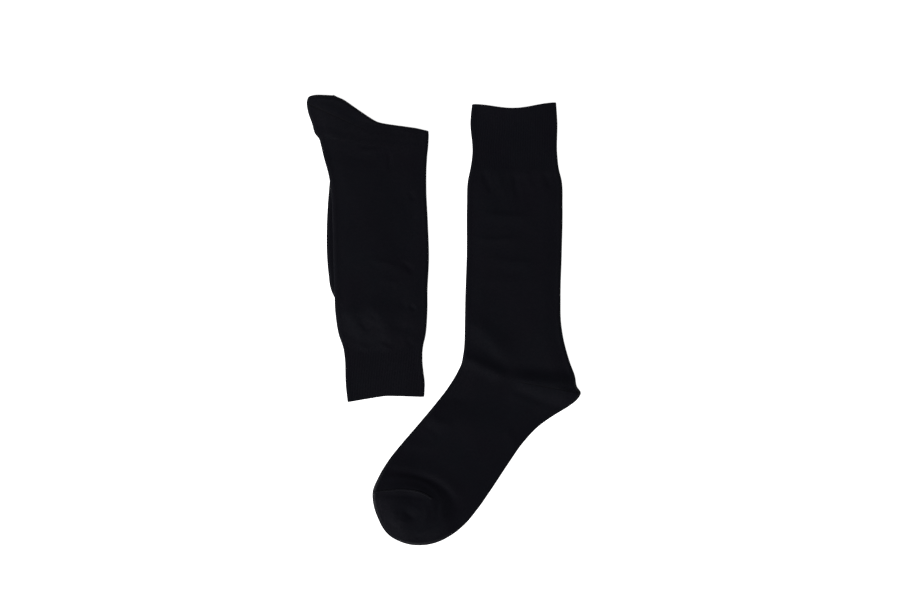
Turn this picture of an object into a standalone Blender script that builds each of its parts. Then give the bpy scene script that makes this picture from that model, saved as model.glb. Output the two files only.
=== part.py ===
"""A pair of plain fine-knit dress socks, lying flat on a table.

One sock is spread out in side view, with its cuff away from the viewer and its toe towards the
viewer's left. The other is turned half round, and its foot is folded back under its leg.

Each sock is one tube of cloth. It is drawn as courses: lines that cross the flat tube from its
front edge (shin, instep) to its back edge (calf, heel, sole). A short table holds the courses
that give the sock its shape, and smooth curves fill in the ones between. Sizes are millimetres
here and become metres when a mesh is made. X runs to the right, Y away from the viewer and Z up,
with the origin on the table in the middle of the pair.
"""

from collections import namedtuple

import bmesh
import bpy
import numpy as np

MM = 0.001

# The cloth, and how a tube of it lies flat
WALL = 1.1  # one layer of the knit
HOLLOW = 0.5  # air between the two panels of a flat tube
HALF_TUBE = WALL + HOLLOW / 2
EDGE_TURN = 2.0  # plan width over which a panel rounds into its edge
SWELL_REACH = 20.0  # distance from the edge at which a panel is at its fullest
CREASE_FADE = 3.5  # creases die away this near to an edge
CREASE_END = 0.35  # share of its line over which a crease rises to its full height

# The sock that is folded
FOOT_HALF = 1.5  # its folded foot is one rounded solid, of this half thickness
FOOT_TURN = 1.6  # plan width over which that foot rounds into its edge
LAYER_GAP = 0.4  # between that foot and the leg above it
FOLD_LOOP = 0.7  # the leg rises by this much more where it turns over
FOLD_LOOP_REACH = 14.0
HEEL_LOOP = 2.2  # the full heel pocket pushes its corner up by this much
HEEL_LOOP_REACH = 32.0
HEEL_CORNER = (-100.0, 240.0)
FOLD_PUSH = 0.55  # how far the fold stands out; a share of 1 would make it half a circle
FOLD_CORNER = 0.25  # the same share at its two corners
FOLD_CORNER_REACH = 0.3  # share of half a panel over which it grows from one to the other
DRAPE = 43.0  # distance over which the leg comes down to the table beyond the foot
FOOT_REACH = 51.0  # half width of the foot that the leg lies over
FOOT_HEEL_END = (-65.0, 209.5)
FOOT_TOE_END = (-70.0, 59.5)
FOLD_POINT = 0.1  # how far the dip in the fold's line is rounded at its lowest point

# Fineness of the meshes
ACROSS = 16  # steps across a panel
RING_GAP = 7.5  # about how far apart the rings of a tube are
FOLD_STEPS = 6
CREASE_STEPS = 33

# A course that shapes the sock: its two edge points, how far its middle runs ahead of its ends
# (towards the toe), and how far the upper panel swells.
Course = namedtuple("Course", "name front back bow swell")

SPREAD_COURSES = [
    Course("mouth", (28.8, 219.6), (114.3, 221.4), 4.6, 1.4),
    Course("cuff", (27.5, 203.0), (115.5, 203.0), 1.5, 0.4),
    Course("cuff waist", (29.2, 169.5), (115.4, 169.5), 0.0, 0.4),
    Course("cuff end", (27.0, 153.5), (117.2, 153.5), 0.0, 0.4),
    Course("leg head", (24.8, 143.0), (119.8, 143.0), 0.0, 0.7),
    Course("calf", (23.7, 116.5), (120.8, 116.5), 0.0, 0.8),
    Course("calf", (23.5, 68.0), (120.0, 68.0), 0.0, 0.8),
    Course("shin", (22.0, 21.0), (118.8, 22.5), 0.0, 0.8),
    Course("shin", (21.5, -7.0), (119.5, -4.0), 0.0, 0.9),
    Course("ankle", (21.0, -25.5), (123.0, -24.5), 0.0, 1.0),
    Course("ankle", (19.7, -36.0), (128.5, -43.5), 0.0, 1.2),
    Course("heel start", (18.0, -44.5), (133.7, -58.0), 0.0, 1.5),
    Course("heel notch", (16.6, -48.0), (135.4, -67.5), 0.0, 1.8),
    Course("heel tip", (15.0, -51.0), (139.5, -74.0), 0.0, 2.0),
    Course("heel", (13.3, -54.5), (136.5, -80.0), 0.0, 2.0),
    Course("heel", (11.0, -58.5), (127.7, -87.3), 0.0, 2.0),
    Course("heel end", (7.3, -64.5), (113.5, -96.0), 0.0, 1.9),
    Course("sole", (2.5, -71.5), (96.5, -108.0), 0.0, 1.7),
    Course("sole", (-4.5, -80.5), (80.0, -125.5), 0.0, 1.4),
    Course("foot", (-13.8, -92.0), (66.0, -145.5), 0.0, 1.1),
    Course("foot", (-30.3, -111.5), (48.8, -171.5), 0.0, 1.0),
    Course("foot", (-44.5, -128.0), (34.5, -192.0), 0.0, 1.1),
    Course("foot", (-57.0, -144.0), (21.0, -208.2), 0.0, 1.1),
    Course("toe start", (-66.5, -160.0), (6.5, -219.7), 0.0, 1.0),
    Course("toe seam", (-72.4, -175.0), (-8.0, -226.7), 0.0, 0.8),
    Course("toe", (-71.4, -189.0), (-21.5, -229.3), 0.0, 0.6),
    Course("toe", (-66.5, -203.0), (-35.7, -228.4), 0.0, 0.6),
    Course("toe", (-61.6, -212.5), (-45.3, -225.3), 0.0, 0.6),
    Course("toe end", (-54.5, -220.2), (-54.5, -220.2), 0.0, 0.6),
]

# The folded sock's upper part, from its mouth up to the fold; it is hollow up to "hollow end"
LEG_COURSES = [
    Course("mouth", (-20.2, -77.6), (-98.0, -82.9), 3.3, 0.3),
    Course("cuff", (-19.6, -66.0), (-99.7, -67.0), 1.0, 0.4),
    Course("cuff", (-22.0, -39.5), (-100.9, -38.0), 0.0, 0.4),
    Course("cuff end", (-21.6, -28.5), (-102.3, -28.5), 0.0, 0.4),
    Course("leg head", (-18.8, -15.0), (-106.8, -15.0), 0.0, 0.7),
    Course("calf", (-17.0, 8.5), (-110.4, 8.5), 0.0, 0.8),
    Course("calf", (-16.8, 31.0), (-111.0, 31.0), 0.0, 0.8),
    Course("calf", (-15.4, 61.5), (-112.0, 61.5), 0.0, 0.8),
    Course("shin", (-16.5, 100.0), (-113.0, 100.0), 0.0, 0.8),
    Course("shin", (-18.0, 133.0), (-114.8, 133.0), 0.0, 0.8),
    Course("ankle", (-18.0, 151.0), (-117.5, 149.5), 0.0, 0.9),
    Course("ankle", (-17.3, 164.5), (-122.2, 166.5), 0.0, 1.0),
    Course("ankle", (-16.9, 170.0), (-124.8, 177.5), -0.6, 1.1),
    Course("ankle", (-16.5, 173.0), (-127.0, 185.0), -1.4, 1.2),
    Course("heel notch", (-16.2, 176.0), (-131.0, 190.0), -3.0, 1.2),
    Course("heel start", (-15.9, 180.0), (-134.0, 200.0), -5.0, 1.0),
    Course("heel", (-15.7, 184.0), (-138.5, 213.5), -7.5, 0.8),
    Course("heel tip", (-15.6, 186.0), (-139.5, 221.5), -9.1, 0.6),
    Course("hollow end", (-15.6, 187.8), (-137.8, 227.4), -10.1, 0.5),
    Course("heel", (-15.6, 189.3), (-131.0, 229.4), -10.8, 0.4),
    Course("heel", (-15.8, 190.7), (-121.5, 229.3), -11.1, 0.4),
    Course("fold", (-16.3, 192.2), (-112.8, 228.6), -10.9, 0.4),
]

# The foot beneath, from the fold back down to the toe
TUCKED_COURSES = [
    Course("fold", (-16.3, 192.2), (-112.8, 228.6), -10.9, 0.0),
    Course("heel", (-17.0, 180.0), (-113.2, 204.0), -5.0, 0.0),
    Course("heel end", (-18.5, 168.5), (-114.0, 175.5), -2.0, 0.0),
    Course("foot", (-19.5, 148.0), (-115.0, 150.0), 0.0, 0.0),
    Course("foot", (-19.5, 115.5), (-117.2, 117.5), 0.0, 0.0),
    Course("foot", (-19.2, 90.0), (-118.1, 92.0), 0.0, 0.0),
    Course("foot", (-19.8, 66.5), (-118.0, 68.5), 0.0, 0.0),
    Course("toe start", (-22.0, 45.5), (-116.6, 48.5), 0.0, 0.0),
    Course("toe seam", (-27.5, 28.0), (-113.8, 30.0), 0.0, 0.0),
    Course("toe", (-37.5, 14.0), (-104.5, 15.0), 0.0, 0.0),
    Course("toe", (-52.0, 5.2), (-89.5, 5.5), 0.0, 0.0),
    Course("toe end", (-70.8, 2.0), (-70.8, 2.0), 0.0, 0.0),
]

# A soft ridge (height over 0) or trough in the upper panel: a bent line through three points,
# with its height and a half width on each side, left and right of the way along the line.
Crease = namedtuple("Crease", "name start middle end height left right")

SPREAD_CREASES = [
    Crease("shin ridge", (17.0, 6.0), (46.0, -16.5), (73.0, -48.0), 1.3, 11.0, 8.5),
    Crease("ankle ridge", (3.0, -30.0), (41.0, -47.5), (71.0, -61.0), 1.8, 6.5, 7.0),
    Crease("heel ridge", (60.0, -60.5), (102.0, -64.5), (160.0, -73.0), 3.1, 8.5, 17.0),
    Crease("heel gore dip", (62.0, -64.0), (94.0, -80.0), (136.0, -93.0), -0.9, 6.0, 5.0),
    Crease("instep swell", (-34.0, -97.0), (8.0, -102.0), (66.0, -104.0), 1.7, 17.0, 20.0),
    Crease("toe outer ridge", (-85.0, -146.0), (-6.0, -155.5), (28.0, -205.0), 0.8, 9.0, 7.0),
    Crease("toe outer trough", (-54.0, -155.5), (-4.0, -164.5), (13.0, -196.0), -1.0, 8.0, 4.5),
    Crease("toe dome", (-125.0, -178.0), (-18.0, -180.5), (10.0, -300.0), 3.7, 12.0, 70.0),
    Crease("toe dome side", (-100.0, -178.0), (-62.0, -178.0), (-30.0, -179.0), 1.5, 9.0, 30.0),
    Crease("toe rim", (-81.0, -166.0), (-64.0, -213.0), (-24.0, -240.0), -2.3, 9.0, 12.0),
    Crease("toe rim swell", (-54.0, -186.0), (-46.0, -206.0), (-32.0, -222.0), 0.7, 14.0, 5.0),
    Crease("toe low side", (-34.0, -240.0), (-2.0, -224.0), (22.0, -196.0), -1.8, 11.0, 14.0),
]

LEG_CREASES = [
    Crease("heel swell", (-152.0, 227.0), (-120.0, 226.5), (-84.0, 211.0), 1.2, 3.5, 22.0),
    Crease("calf swell", (-88.0, 184.0), (-79.0, 100.0), (-72.0, 22.0), 1.6, 24.0, 26.0),
    Crease("calf hollow", (-38.0, 152.0), (-34.0, 95.0), (-38.0, 40.0), -0.8, 12.0, 18.0),
    Crease("toe edge left", (-104.0, 12.0), (-96.5, 4.5), (-91.0, -5.0), 0.65, 9.0, 4.5),
    Crease("toe edge middle", (-84.0, 20.0), (-64.0, 3.0), (-57.0, -24.0), 1.2, 13.0, 5.5),
]

# The same facts for every ring of a tube, as arrays, with each ring's station along the tube
# and its distance from the toe
Rings = namedtuple("Rings", "along front back bow swell to_toe")

CORNER_BLEND = 4  # power that rounds the corner between the distances to the side and the toe
TINY = 1e-6
KNIT_COLOUR = (0.006, 0.006, 0.008)


def smooth_step(value):
    """0 up to 0, 1 from 1 on, and an even ease between."""
    value = np.clip(value, 0.0, 1.0)
    return value * value * (3.0 - 2.0 * value)


def smooth_curve(stations, values, at):
    """A cubic through each row of values, whose slope at a row is the mean of its two sides."""
    gaps = np.diff(stations)[:, None]
    steps = np.diff(values, axis=0) / gaps
    slopes = np.empty_like(values)
    slopes[0] = steps[0]
    slopes[-1] = steps[-1]
    slopes[1:-1] = (steps[:-1] * gaps[1:] + steps[1:] * gaps[:-1]) / (gaps[1:] + gaps[:-1])
    piece = np.clip(np.searchsorted(stations, at, side="right") - 1, 0, len(gaps) - 1)
    gap = gaps[piece]
    t = (at - stations[piece])[:, None] / gap
    return (
        values[piece] * (1 + 2 * t) * (1 - t) ** 2
        + values[piece + 1] * t**2 * (3 - 2 * t)
        + slopes[piece] * gap * t * (1 - t) ** 2
        - slopes[piece + 1] * gap * t**2 * (1 - t)
    )


def course_table(courses):
    """The courses' numbers as rows: front x and y, back x and y, bow and swell."""
    return np.array([(*course.front, *course.back, course.bow, course.swell) for course in courses])


def course_stations(table):
    """How far along the tube each row is: the mean of the ways that its two ends have come."""
    moves = np.diff(table[:, :4], axis=0)
    lengths = (np.hypot(moves[:, 0], moves[:, 1]) + np.hypot(moves[:, 2], moves[:, 3])) / 2
    return np.concatenate([[0.0], np.cumsum(lengths)])


def ring_stations(stations):
    """Stations of the rings: each course's own, and even steps of about RING_GAP between two."""
    at = [stations[0]]
    for start, end in zip(stations[:-1], stations[1:]):
        steps = max(1, round((end - start) / RING_GAP))
        at.extend(np.linspace(start, end, steps + 1)[1:])
    return np.array(at)


def rings_between(courses, closed):
    """Rings of the tube through its courses; closed says that it ends in a toe.

    Past a closed toe comes one more row with its two edges swapped, so that the curves along the
    edges meet there and pass round the toe.
    """
    table = course_table(courses)
    if closed:
        past = table[-2, [2, 3, 0, 1, 4, 5]]
        table = np.vstack([table, past])
    stations = course_stations(table)
    along = ring_stations(stations[: len(courses)])
    rows = smooth_curve(stations, table, along)
    front = rows[:, 0:2]
    back = rows[:, 2:4]
    if closed:
        front[-1] = back[-1] = table[len(courses) - 1, 0:2]
        middle = (front + back) / 2
        walk = np.hypot(*np.diff(middle, axis=0).T)
        to_toe = np.append(np.cumsum(walk[::-1])[::-1], 0.0)
    else:
        to_toe = np.full(len(rows), np.inf)
    return Rings(along, front, back, rows[:, 4], rows[:, 5], to_toe)


def inset_edge(edge, other, closed, distance, turn):
    """An edge moved into the tube by a distance, at right angles to itself; turn is 1 or -1."""
    path = edge
    if closed:
        path = np.vstack([edge, other[-2]])
    along = np.gradient(path, axis=0)[: len(edge)]
    along /= np.hypot(along[:, 0], along[:, 1])[:, None]
    inward = np.column_stack([-along[:, 1], along[:, 0]]) * turn
    return edge + inward * distance


def inset_rings(rings, distance):
    """The same rings, smaller all round by a distance."""
    closed = bool(rings.to_toe[-1] == 0)
    front = inset_edge(rings.front, rings.back, closed, distance, 1)
    back = inset_edge(rings.back, rings.front, closed, distance, -1)
    to_toe = np.maximum(rings.to_toe - distance, 0.0)
    if closed:
        front[-1] = back[-1] = (front[-1] + back[-1]) / 2
    return rings._replace(front=front, back=back, to_toe=to_toe)


def rings_up_to(rings, courses, name):
    """The rings of an open tube as far as the course with that name."""
    stations = course_stations(course_table(courses))
    end = stations[[course.name for course in courses].index(name)]
    count = np.count_nonzero(rings.along < end + TINY)
    return Rings(*(values[:count] for values in rings))


def across_panel():
    """Places across a panel, -1 at the front edge and 1 at the back, closer near the edges."""
    return -np.cos(np.pi * np.arange(ACROSS + 1) / ACROSS)


def soft_bow(share):
    """A course that runs ahead in a soft curve, level at both of its ends."""
    return np.sin(np.pi * share) ** 2


def pointed_bow(share):
    """A course that runs ahead nearly straight to its middle and back, as the fold does."""
    from_middle = np.hypot(2 * share - 1, FOLD_POINT)
    return (np.hypot(1, FOLD_POINT) - from_middle) / (np.hypot(1, FOLD_POINT) - FOLD_POINT)


def plan_points(rings, bow_shape):
    """Plan points of each ring, and their distance from the tube's edges and its toe."""
    across = across_panel()[None, :, None]
    middle = (rings.front + rings.back)[:, None] / 2
    half = (rings.back - rings.front)[:, None] / 2
    width = np.hypot(half[..., 0], half[..., 1])
    # Ahead is at right angles to the course, on the side of the toe.
    ahead = np.stack([half[..., 1], -half[..., 0]], axis=-1) / np.maximum(width, TINY)[..., None]
    bow = rings.bow[:, None] * bow_shape((1 - across[..., 0]) / 2)
    points = middle + half * across + ahead * bow[..., None]
    to_side = np.maximum(width * (1 - np.abs(across[..., 0])), TINY)
    to_end = np.maximum(rings.to_toe[:, None], TINY)
    to_edge = (to_side**-CORNER_BLEND + to_end**-CORNER_BLEND) ** (-1 / CORNER_BLEND)
    return points, to_edge


def edge_round(to_edge, reach):
    """0 at an edge and 1 from its reach on, round like a quarter of an ellipse."""
    return np.sqrt(1 - (1 - np.clip(to_edge / reach, 0.0, 1.0)) ** 2)


def crease_height(points, creases):
    """Height of the soft ridges and troughs at plan points.

    Across its line a crease is bell-shaped, with its own half width on each side. Along it, its
    height eases from 0 at both ends to the whole, by the share of the line that lies nearest.
    """
    height = np.zeros(points.shape[:-1])
    t = np.linspace(0.0, 1.0, CREASE_STEPS)[:, None]
    for crease in creases:
        start, middle, end = (np.array(corner) for corner in crease[1:4])
        pull = 2 * middle - (start + end) / 2
        line = (1 - t) ** 2 * start + 2 * t * (1 - t) * pull + t**2 * end
        way = np.gradient(line, axis=0)
        step = np.hypot(way[:, 0], way[:, 1])
        way /= step[:, None]
        apart = points[..., None, :] - line
        nearest = (apart**2).sum(axis=-1).argmin(axis=-1)
        offset = points - line[nearest]
        along = (offset * way[nearest]).sum(axis=-1) / step[nearest]
        share = np.clip((nearest + along) / (CREASE_STEPS - 1), 0.0, 1.0)
        to_left = way[nearest][..., 0] * offset[..., 1] - way[nearest][..., 1] * offset[..., 0]
        width = np.where(to_left > 0, crease.left, crease.right)
        rise = smooth_step(np.minimum(share, 1 - share) / CREASE_END)
        height += crease.height * rise * np.exp(-((to_left / width) ** 2))
    return height


def panel_offsets(rings, points, to_edge, inset, creases):
    """Heights of the upper and the lower panel from the middle of the tube's thickness."""
    round_part = (HALF_TUBE - inset) * edge_round(to_edge, EDGE_TURN - inset)
    from_edge = to_edge + inset
    swell = rings.swell[:, None] * smooth_step(from_edge / SWELL_REACH)
    folds = crease_height(points, creases) * smooth_step(from_edge / CREASE_FADE)
    return round_part + swell + folds, round_part


def ring_loop(upper, lower):
    """Points once round each ring: over the upper panel, then back under the lower one."""
    return np.concatenate([upper, lower[:, -2:0:-1]], axis=1)


def lying_tube(rings, inset, creases, lift, bow_shape):
    """A tube on the table, as rings of points; lift gives the height of its middle in plan."""
    rings = inset_rings(rings, inset) if inset else rings
    points, to_edge = plan_points(rings, bow_shape)
    above, below = panel_offsets(rings, points, to_edge, inset, creases)
    middle = lift(points)
    upper = np.dstack([points, middle + above])
    lower = np.dstack([points, middle - below])
    return ring_loop(upper, lower)


def on_the_table(points):
    """The tube's middle where it lies straight on the table."""
    return np.full(points.shape[:-1], HALF_TUBE)


def over_the_foot(points):
    """The leg's middle: above the folded foot, and down on the table away from it."""
    heel_end = np.array(FOOT_HEEL_END)
    foot = np.array(FOOT_TOE_END) - heel_end
    share = np.clip(((points - heel_end) @ foot) / (foot @ foot), 0.0, 1.0)
    beside = np.linalg.norm(points - heel_end - share[..., None] * foot, axis=-1)
    rise = 2 * FOOT_HALF + LAYER_GAP
    return HALF_TUBE + rise * (1 - smooth_step((beside - FOOT_REACH) / DRAPE))


def fold_frame():
    """The fold's front end, and the direction ahead at right angles to it."""
    fold = LEG_COURSES[-1]
    front = np.array(fold.front)
    along = np.array(fold.back) - front
    along /= np.hypot(*along)
    return front, np.array([along[1], -along[0]])


def leg_middle(points):
    """The leg's middle with the loop that its cloth makes before the fold, fuller at the heel."""
    front, ahead = fold_frame()
    short_of_fold = np.maximum((front - points) @ ahead, 0.0)
    from_corner = np.linalg.norm(points - np.array(HEEL_CORNER), axis=-1)
    fold_loop = FOLD_LOOP * np.exp(-((short_of_fold / FOLD_LOOP_REACH) ** 2))
    heel_loop = HEEL_LOOP * np.exp(-((from_corner / HEEL_LOOP_REACH) ** 2))
    return over_the_foot(points) + fold_loop + heel_loop


def tucked_foot(foot):
    """The foot under the leg, flat on the table, as rings of points that match the leg's.

    The tube has turned over, so the panel that is on top in the leg is next to the table here.
    """
    points, to_edge = plan_points(foot, pointed_bow)
    round_part = FOOT_HALF * edge_round(to_edge, FOOT_TURN)
    beneath = np.dstack([points, FOOT_HALF - round_part])
    above = np.dstack([points, FOOT_HALF + round_part])
    return ring_loop(beneath, above)


def fold_loops(last_leg, first_foot):
    """Rings round the fold: each point turns half round between the leg and the foot.

    The fold is pressed, so it stands out less than half a circle would, and least at its corners.
    """
    _, ahead = fold_frame()
    across = across_panel()
    from_corner = 1 - np.abs(np.concatenate([across, across[-2:0:-1]]))
    push = FOLD_CORNER + (FOLD_PUSH - FOLD_CORNER) * smooth_step(from_corner / FOLD_CORNER_REACH)
    centre = (last_leg + first_foot) / 2
    arm = (last_leg - first_foot) / 2
    loops = []
    for step in range(1, FOLD_STEPS):
        angle = np.pi * step / FOLD_STEPS
        loop = centre + arm * np.cos(angle)
        loop[:, :2] += ahead * (arm[:, 2] * push * np.sin(angle))[:, None]
        loops.append(loop)
    return np.array(loops)


def add_ring(mesh, loop):
    return [mesh.verts.new(point * MM) for point in loop]


def add_strip(mesh, first, second):
    """Faces between two rings with the same number of points."""
    count = len(first)
    for place in range(count):
        after = (place + 1) % count
        mesh.faces.new([first[place], first[after], second[after], second[place]])


def add_skin(mesh, loops):
    """The surface through a tube's rings; a last ring drawn together to a point is closed there."""
    ends_in_point = np.ptp(loops[-1], axis=0).max() < WALL / 2
    rows = [add_ring(mesh, loop) for loop in (loops[:-1] if ends_in_point else loops)]
    for first, second in zip(rows[:-1], rows[1:]):
        add_strip(mesh, first, second)
    if ends_in_point:
        tip = mesh.verts.new(loops[-1].mean(axis=0) * MM)
        last = rows[-1]
        for place, corner in enumerate(last):
            mesh.faces.new([corner, last[(place + 1) % len(last)], tip])
    return rows, ends_in_point


def close_flat_ring(mesh, ring):
    """Faces that join the upper and the lower half of a ring, where a hollow stops."""
    mesh.faces.new([ring[0], ring[1], ring[-1]])
    for place in range(1, ACROSS - 1):
        mesh.faces.new([ring[place], ring[place + 1], ring[-place - 1], ring[-place]])
    mesh.faces.new([ring[ACROSS - 1], ring[ACROSS], ring[ACROSS + 1]])


def sock_object(name, outside, inside):
    """One closed wall: an outside and an inside that meet in a rim at the sock's mouth."""
    mesh = bmesh.new()
    outer_rows, _ = add_skin(mesh, outside)
    inner_rows, inner_closed = add_skin(mesh, inside)
    add_strip(mesh, outer_rows[0], inner_rows[0])
    if not inner_closed:
        close_flat_ring(mesh, inner_rows[-1])
    bmesh.ops.recalc_face_normals(mesh, faces=mesh.faces)

    data = bpy.data.meshes.new(name)
    mesh.to_mesh(data)
    mesh.free()
    data.shade_smooth()
    data.materials.append(knit_material(name + "_knit", KNIT_COLOUR))
    sock = bpy.data.objects.new(name, data)
    bpy.context.collection.objects.link(sock)
    return sock


def knit_material(name, colour):
    """Matt near-black cotton knit."""
    material = bpy.data.materials.new(name)
    material.use_nodes = True
    shader = material.node_tree.nodes["Principled BSDF"]
    shader.inputs["Base Color"].default_value = (*colour, 1.0)
    shader.inputs["Roughness"].default_value = 0.9
    shader.inputs["Metallic"].default_value = 0.0
    return material


def spread_sock():
    """The sock in side view, hollow from its mouth to its toe."""
    rings = rings_between(SPREAD_COURSES, closed=True)
    outside = lying_tube(rings, 0.0, SPREAD_CREASES, on_the_table, soft_bow)
    inside = lying_tube(rings, WALL, SPREAD_CREASES, on_the_table, soft_bow)
    return sock_object("sock_spread", outside, inside)


def folded_sock():
    """The sock whose leg is hollow and lies on its own folded foot."""
    leg = rings_between(LEG_COURSES, closed=False)
    foot = rings_between(TUCKED_COURSES, closed=True)
    leg_loops = lying_tube(leg, 0.0, LEG_CREASES, leg_middle, pointed_bow)
    foot_loops = tucked_foot(foot)
    turn = fold_loops(leg_loops[-1], foot_loops[0])
    outside = np.concatenate([leg_loops, turn, foot_loops])
    hollow = rings_up_to(leg, LEG_COURSES, "hollow end")
    inside = lying_tube(hollow, WALL, LEG_CREASES, leg_middle, pointed_bow)
    return sock_object("sock_folded", outside, inside)


def clear_scene():
    for thing in list(bpy.data.objects):
        bpy.data.objects.remove(thing)


clear_scene()
spread_sock()
folded_sock()
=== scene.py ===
# %% [markdown]
# # A pair of dress socks, laid flat
#
# Two near-black fine-knit socks lie side by side on a white table, seen from straight above.
# The right one is spread out in side view. The left one is turned half round, and its foot is
# folded back under its leg.
#
# A dress sock isn't cut and sewn like a shirt. It is knitted as one tube: a ribbed cuff, a plain
# leg, a heel pocket, a plain foot and a toe pocket, which one row of linking closes. So this
# lesson makes each sock as one tube of cloth too, with a ribbed cuff joined to it ring by ring,
# and then adds the linking as a chain of real yarn loops.

# %% Load the frame
from collections import namedtuple

import bpy
import numpy as np
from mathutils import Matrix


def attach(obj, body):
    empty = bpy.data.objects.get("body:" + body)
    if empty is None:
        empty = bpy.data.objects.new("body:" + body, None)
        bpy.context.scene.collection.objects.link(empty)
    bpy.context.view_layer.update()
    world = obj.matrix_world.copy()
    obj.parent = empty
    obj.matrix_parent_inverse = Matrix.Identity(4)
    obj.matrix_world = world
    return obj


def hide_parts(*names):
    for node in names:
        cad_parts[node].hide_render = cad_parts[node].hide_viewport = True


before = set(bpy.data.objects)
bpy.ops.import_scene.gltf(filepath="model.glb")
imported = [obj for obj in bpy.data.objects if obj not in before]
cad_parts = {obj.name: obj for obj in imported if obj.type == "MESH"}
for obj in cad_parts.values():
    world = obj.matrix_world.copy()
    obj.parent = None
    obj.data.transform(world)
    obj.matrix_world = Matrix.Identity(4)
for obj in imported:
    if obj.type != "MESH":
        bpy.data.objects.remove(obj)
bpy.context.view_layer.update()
MM = 0.001

# %% [markdown]
# ## The camera
#
# Flat things are pictured from straight above, so that their outline is true. A long lens keeps
# the upper cloth from covering more of the table than the lower cloth. The height follows from
# the lens: the picture is as wide on the table as the sensor is seen through the lens.

# %% Camera straight above
VIEW_WIDTH = 918.0  # mm of table across the picture
VIEW_CENTRE = (6.3, 21.1)
LENS = 100.0
SENSOR = 36.0

eye_height = VIEW_WIDTH * LENS / SENSOR
camera = bpy.data.objects.new("camera", bpy.data.cameras.new("camera"))
camera.data.lens = LENS
camera.data.sensor_width = SENSOR
camera.location = (VIEW_CENTRE[0] * MM, VIEW_CENTRE[1] * MM, eye_height * MM)
bpy.context.scene.collection.objects.link(camera)
bpy.context.scene.camera = camera
print("the camera is", round(eye_height * MM, 2), "m above the table")

# %% [markdown]
# ## The courses
#
# A knitter counts a tube in courses, the rings of stitches from the mouth to the toe, and in
# wales, the columns of stitches. The shape of a flat sock is written in the same way: each row of
# a table is one course, with the two points where it meets the sock's front edge (shin, instep)
# and back edge (calf, heel, sole). `bow` is how far its middle runs ahead of its ends, and `swell`
# is how far the upper panel puffs up, all in millimetres.

# %% The spread sock's courses
Course = namedtuple("Course", "name front back bow swell")

SPREAD_COURSES = [
    Course("mouth", (28.8, 219.6), (114.3, 221.4), 4.6, 1.4),
    Course("cuff", (27.2, 203.0), (115.5, 203.0), 1.5, 0.4),
    Course("cuff waist", (29.2, 169.5), (115.4, 169.5), 0.0, 0.4),
    Course("cuff end", (27.0, 153.5), (117.2, 153.5), 0.0, 0.4),
    Course("leg head", (24.8, 143.0), (119.8, 143.0), 0.0, 0.7),
    Course("calf", (23.7, 116.5), (120.8, 116.5), 0.0, 0.8),
    Course("calf", (23.5, 68.0), (120.0, 68.0), 0.0, 0.8),
    Course("shin", (22.0, 21.0), (118.8, 22.5), 0.0, 0.8),
    Course("shin", (21.5, -7.0), (119.5, -4.0), 0.0, 0.9),
    Course("ankle", (21.0, -25.5), (123.0, -24.5), 0.0, 1.0),
    Course("ankle", (19.7, -36.0), (128.5, -43.5), 0.0, 1.2),
    Course("heel start", (18.0, -44.5), (133.7, -58.0), 0.0, 1.5),
    Course("heel notch", (16.6, -48.0), (135.4, -67.5), 0.0, 1.8),
    Course("heel tip", (15.0, -51.0), (139.5, -74.0), 0.0, 2.0),
    Course("heel", (13.3, -54.5), (136.5, -80.0), 0.0, 2.0),
    Course("heel", (11.0, -58.5), (127.7, -87.3), 0.0, 2.0),
    Course("heel end", (7.3, -64.5), (113.5, -96.0), 0.0, 1.9),
    Course("sole", (2.5, -71.5), (96.5, -108.0), 0.0, 1.7),
    Course("sole", (-4.5, -80.5), (80.0, -125.5), 0.0, 1.4),
    Course("foot", (-13.8, -92.0), (66.0, -145.5), 0.0, 1.1),
    Course("foot", (-30.3, -111.5), (48.8, -171.5), 0.0, 1.0),
    Course("foot", (-44.5, -128.0), (34.5, -192.0), 0.0, 1.1),
    Course("foot", (-57.0, -144.0), (21.0, -208.2), 0.0, 1.1),
    Course("toe start", (-66.5, -160.0), (6.5, -219.7), 0.0, 1.0),
    Course("toe seam", (-72.4, -175.0), (-8.0, -226.7), 0.0, 0.8),
    Course("toe", (-71.4, -189.0), (-21.5, -229.3), 0.0, 0.6),
    Course("toe", (-66.5, -203.0), (-35.7, -228.4), 0.0, 0.6),
    Course("toe", (-61.6, -212.5), (-45.3, -225.3), 0.0, 0.6),
    Course("toe end", (-54.5, -220.2), (-54.5, -220.2), 0.0, 0.6),
]
print("the spread sock is drawn with", len(SPREAD_COURSES), "courses")

# %% [markdown]
# The folded sock takes two tables: its leg, from the mouth up to the fold, and the foot beneath,
# from the fold back down to the toe. Both tables share the course at the fold.

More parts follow.
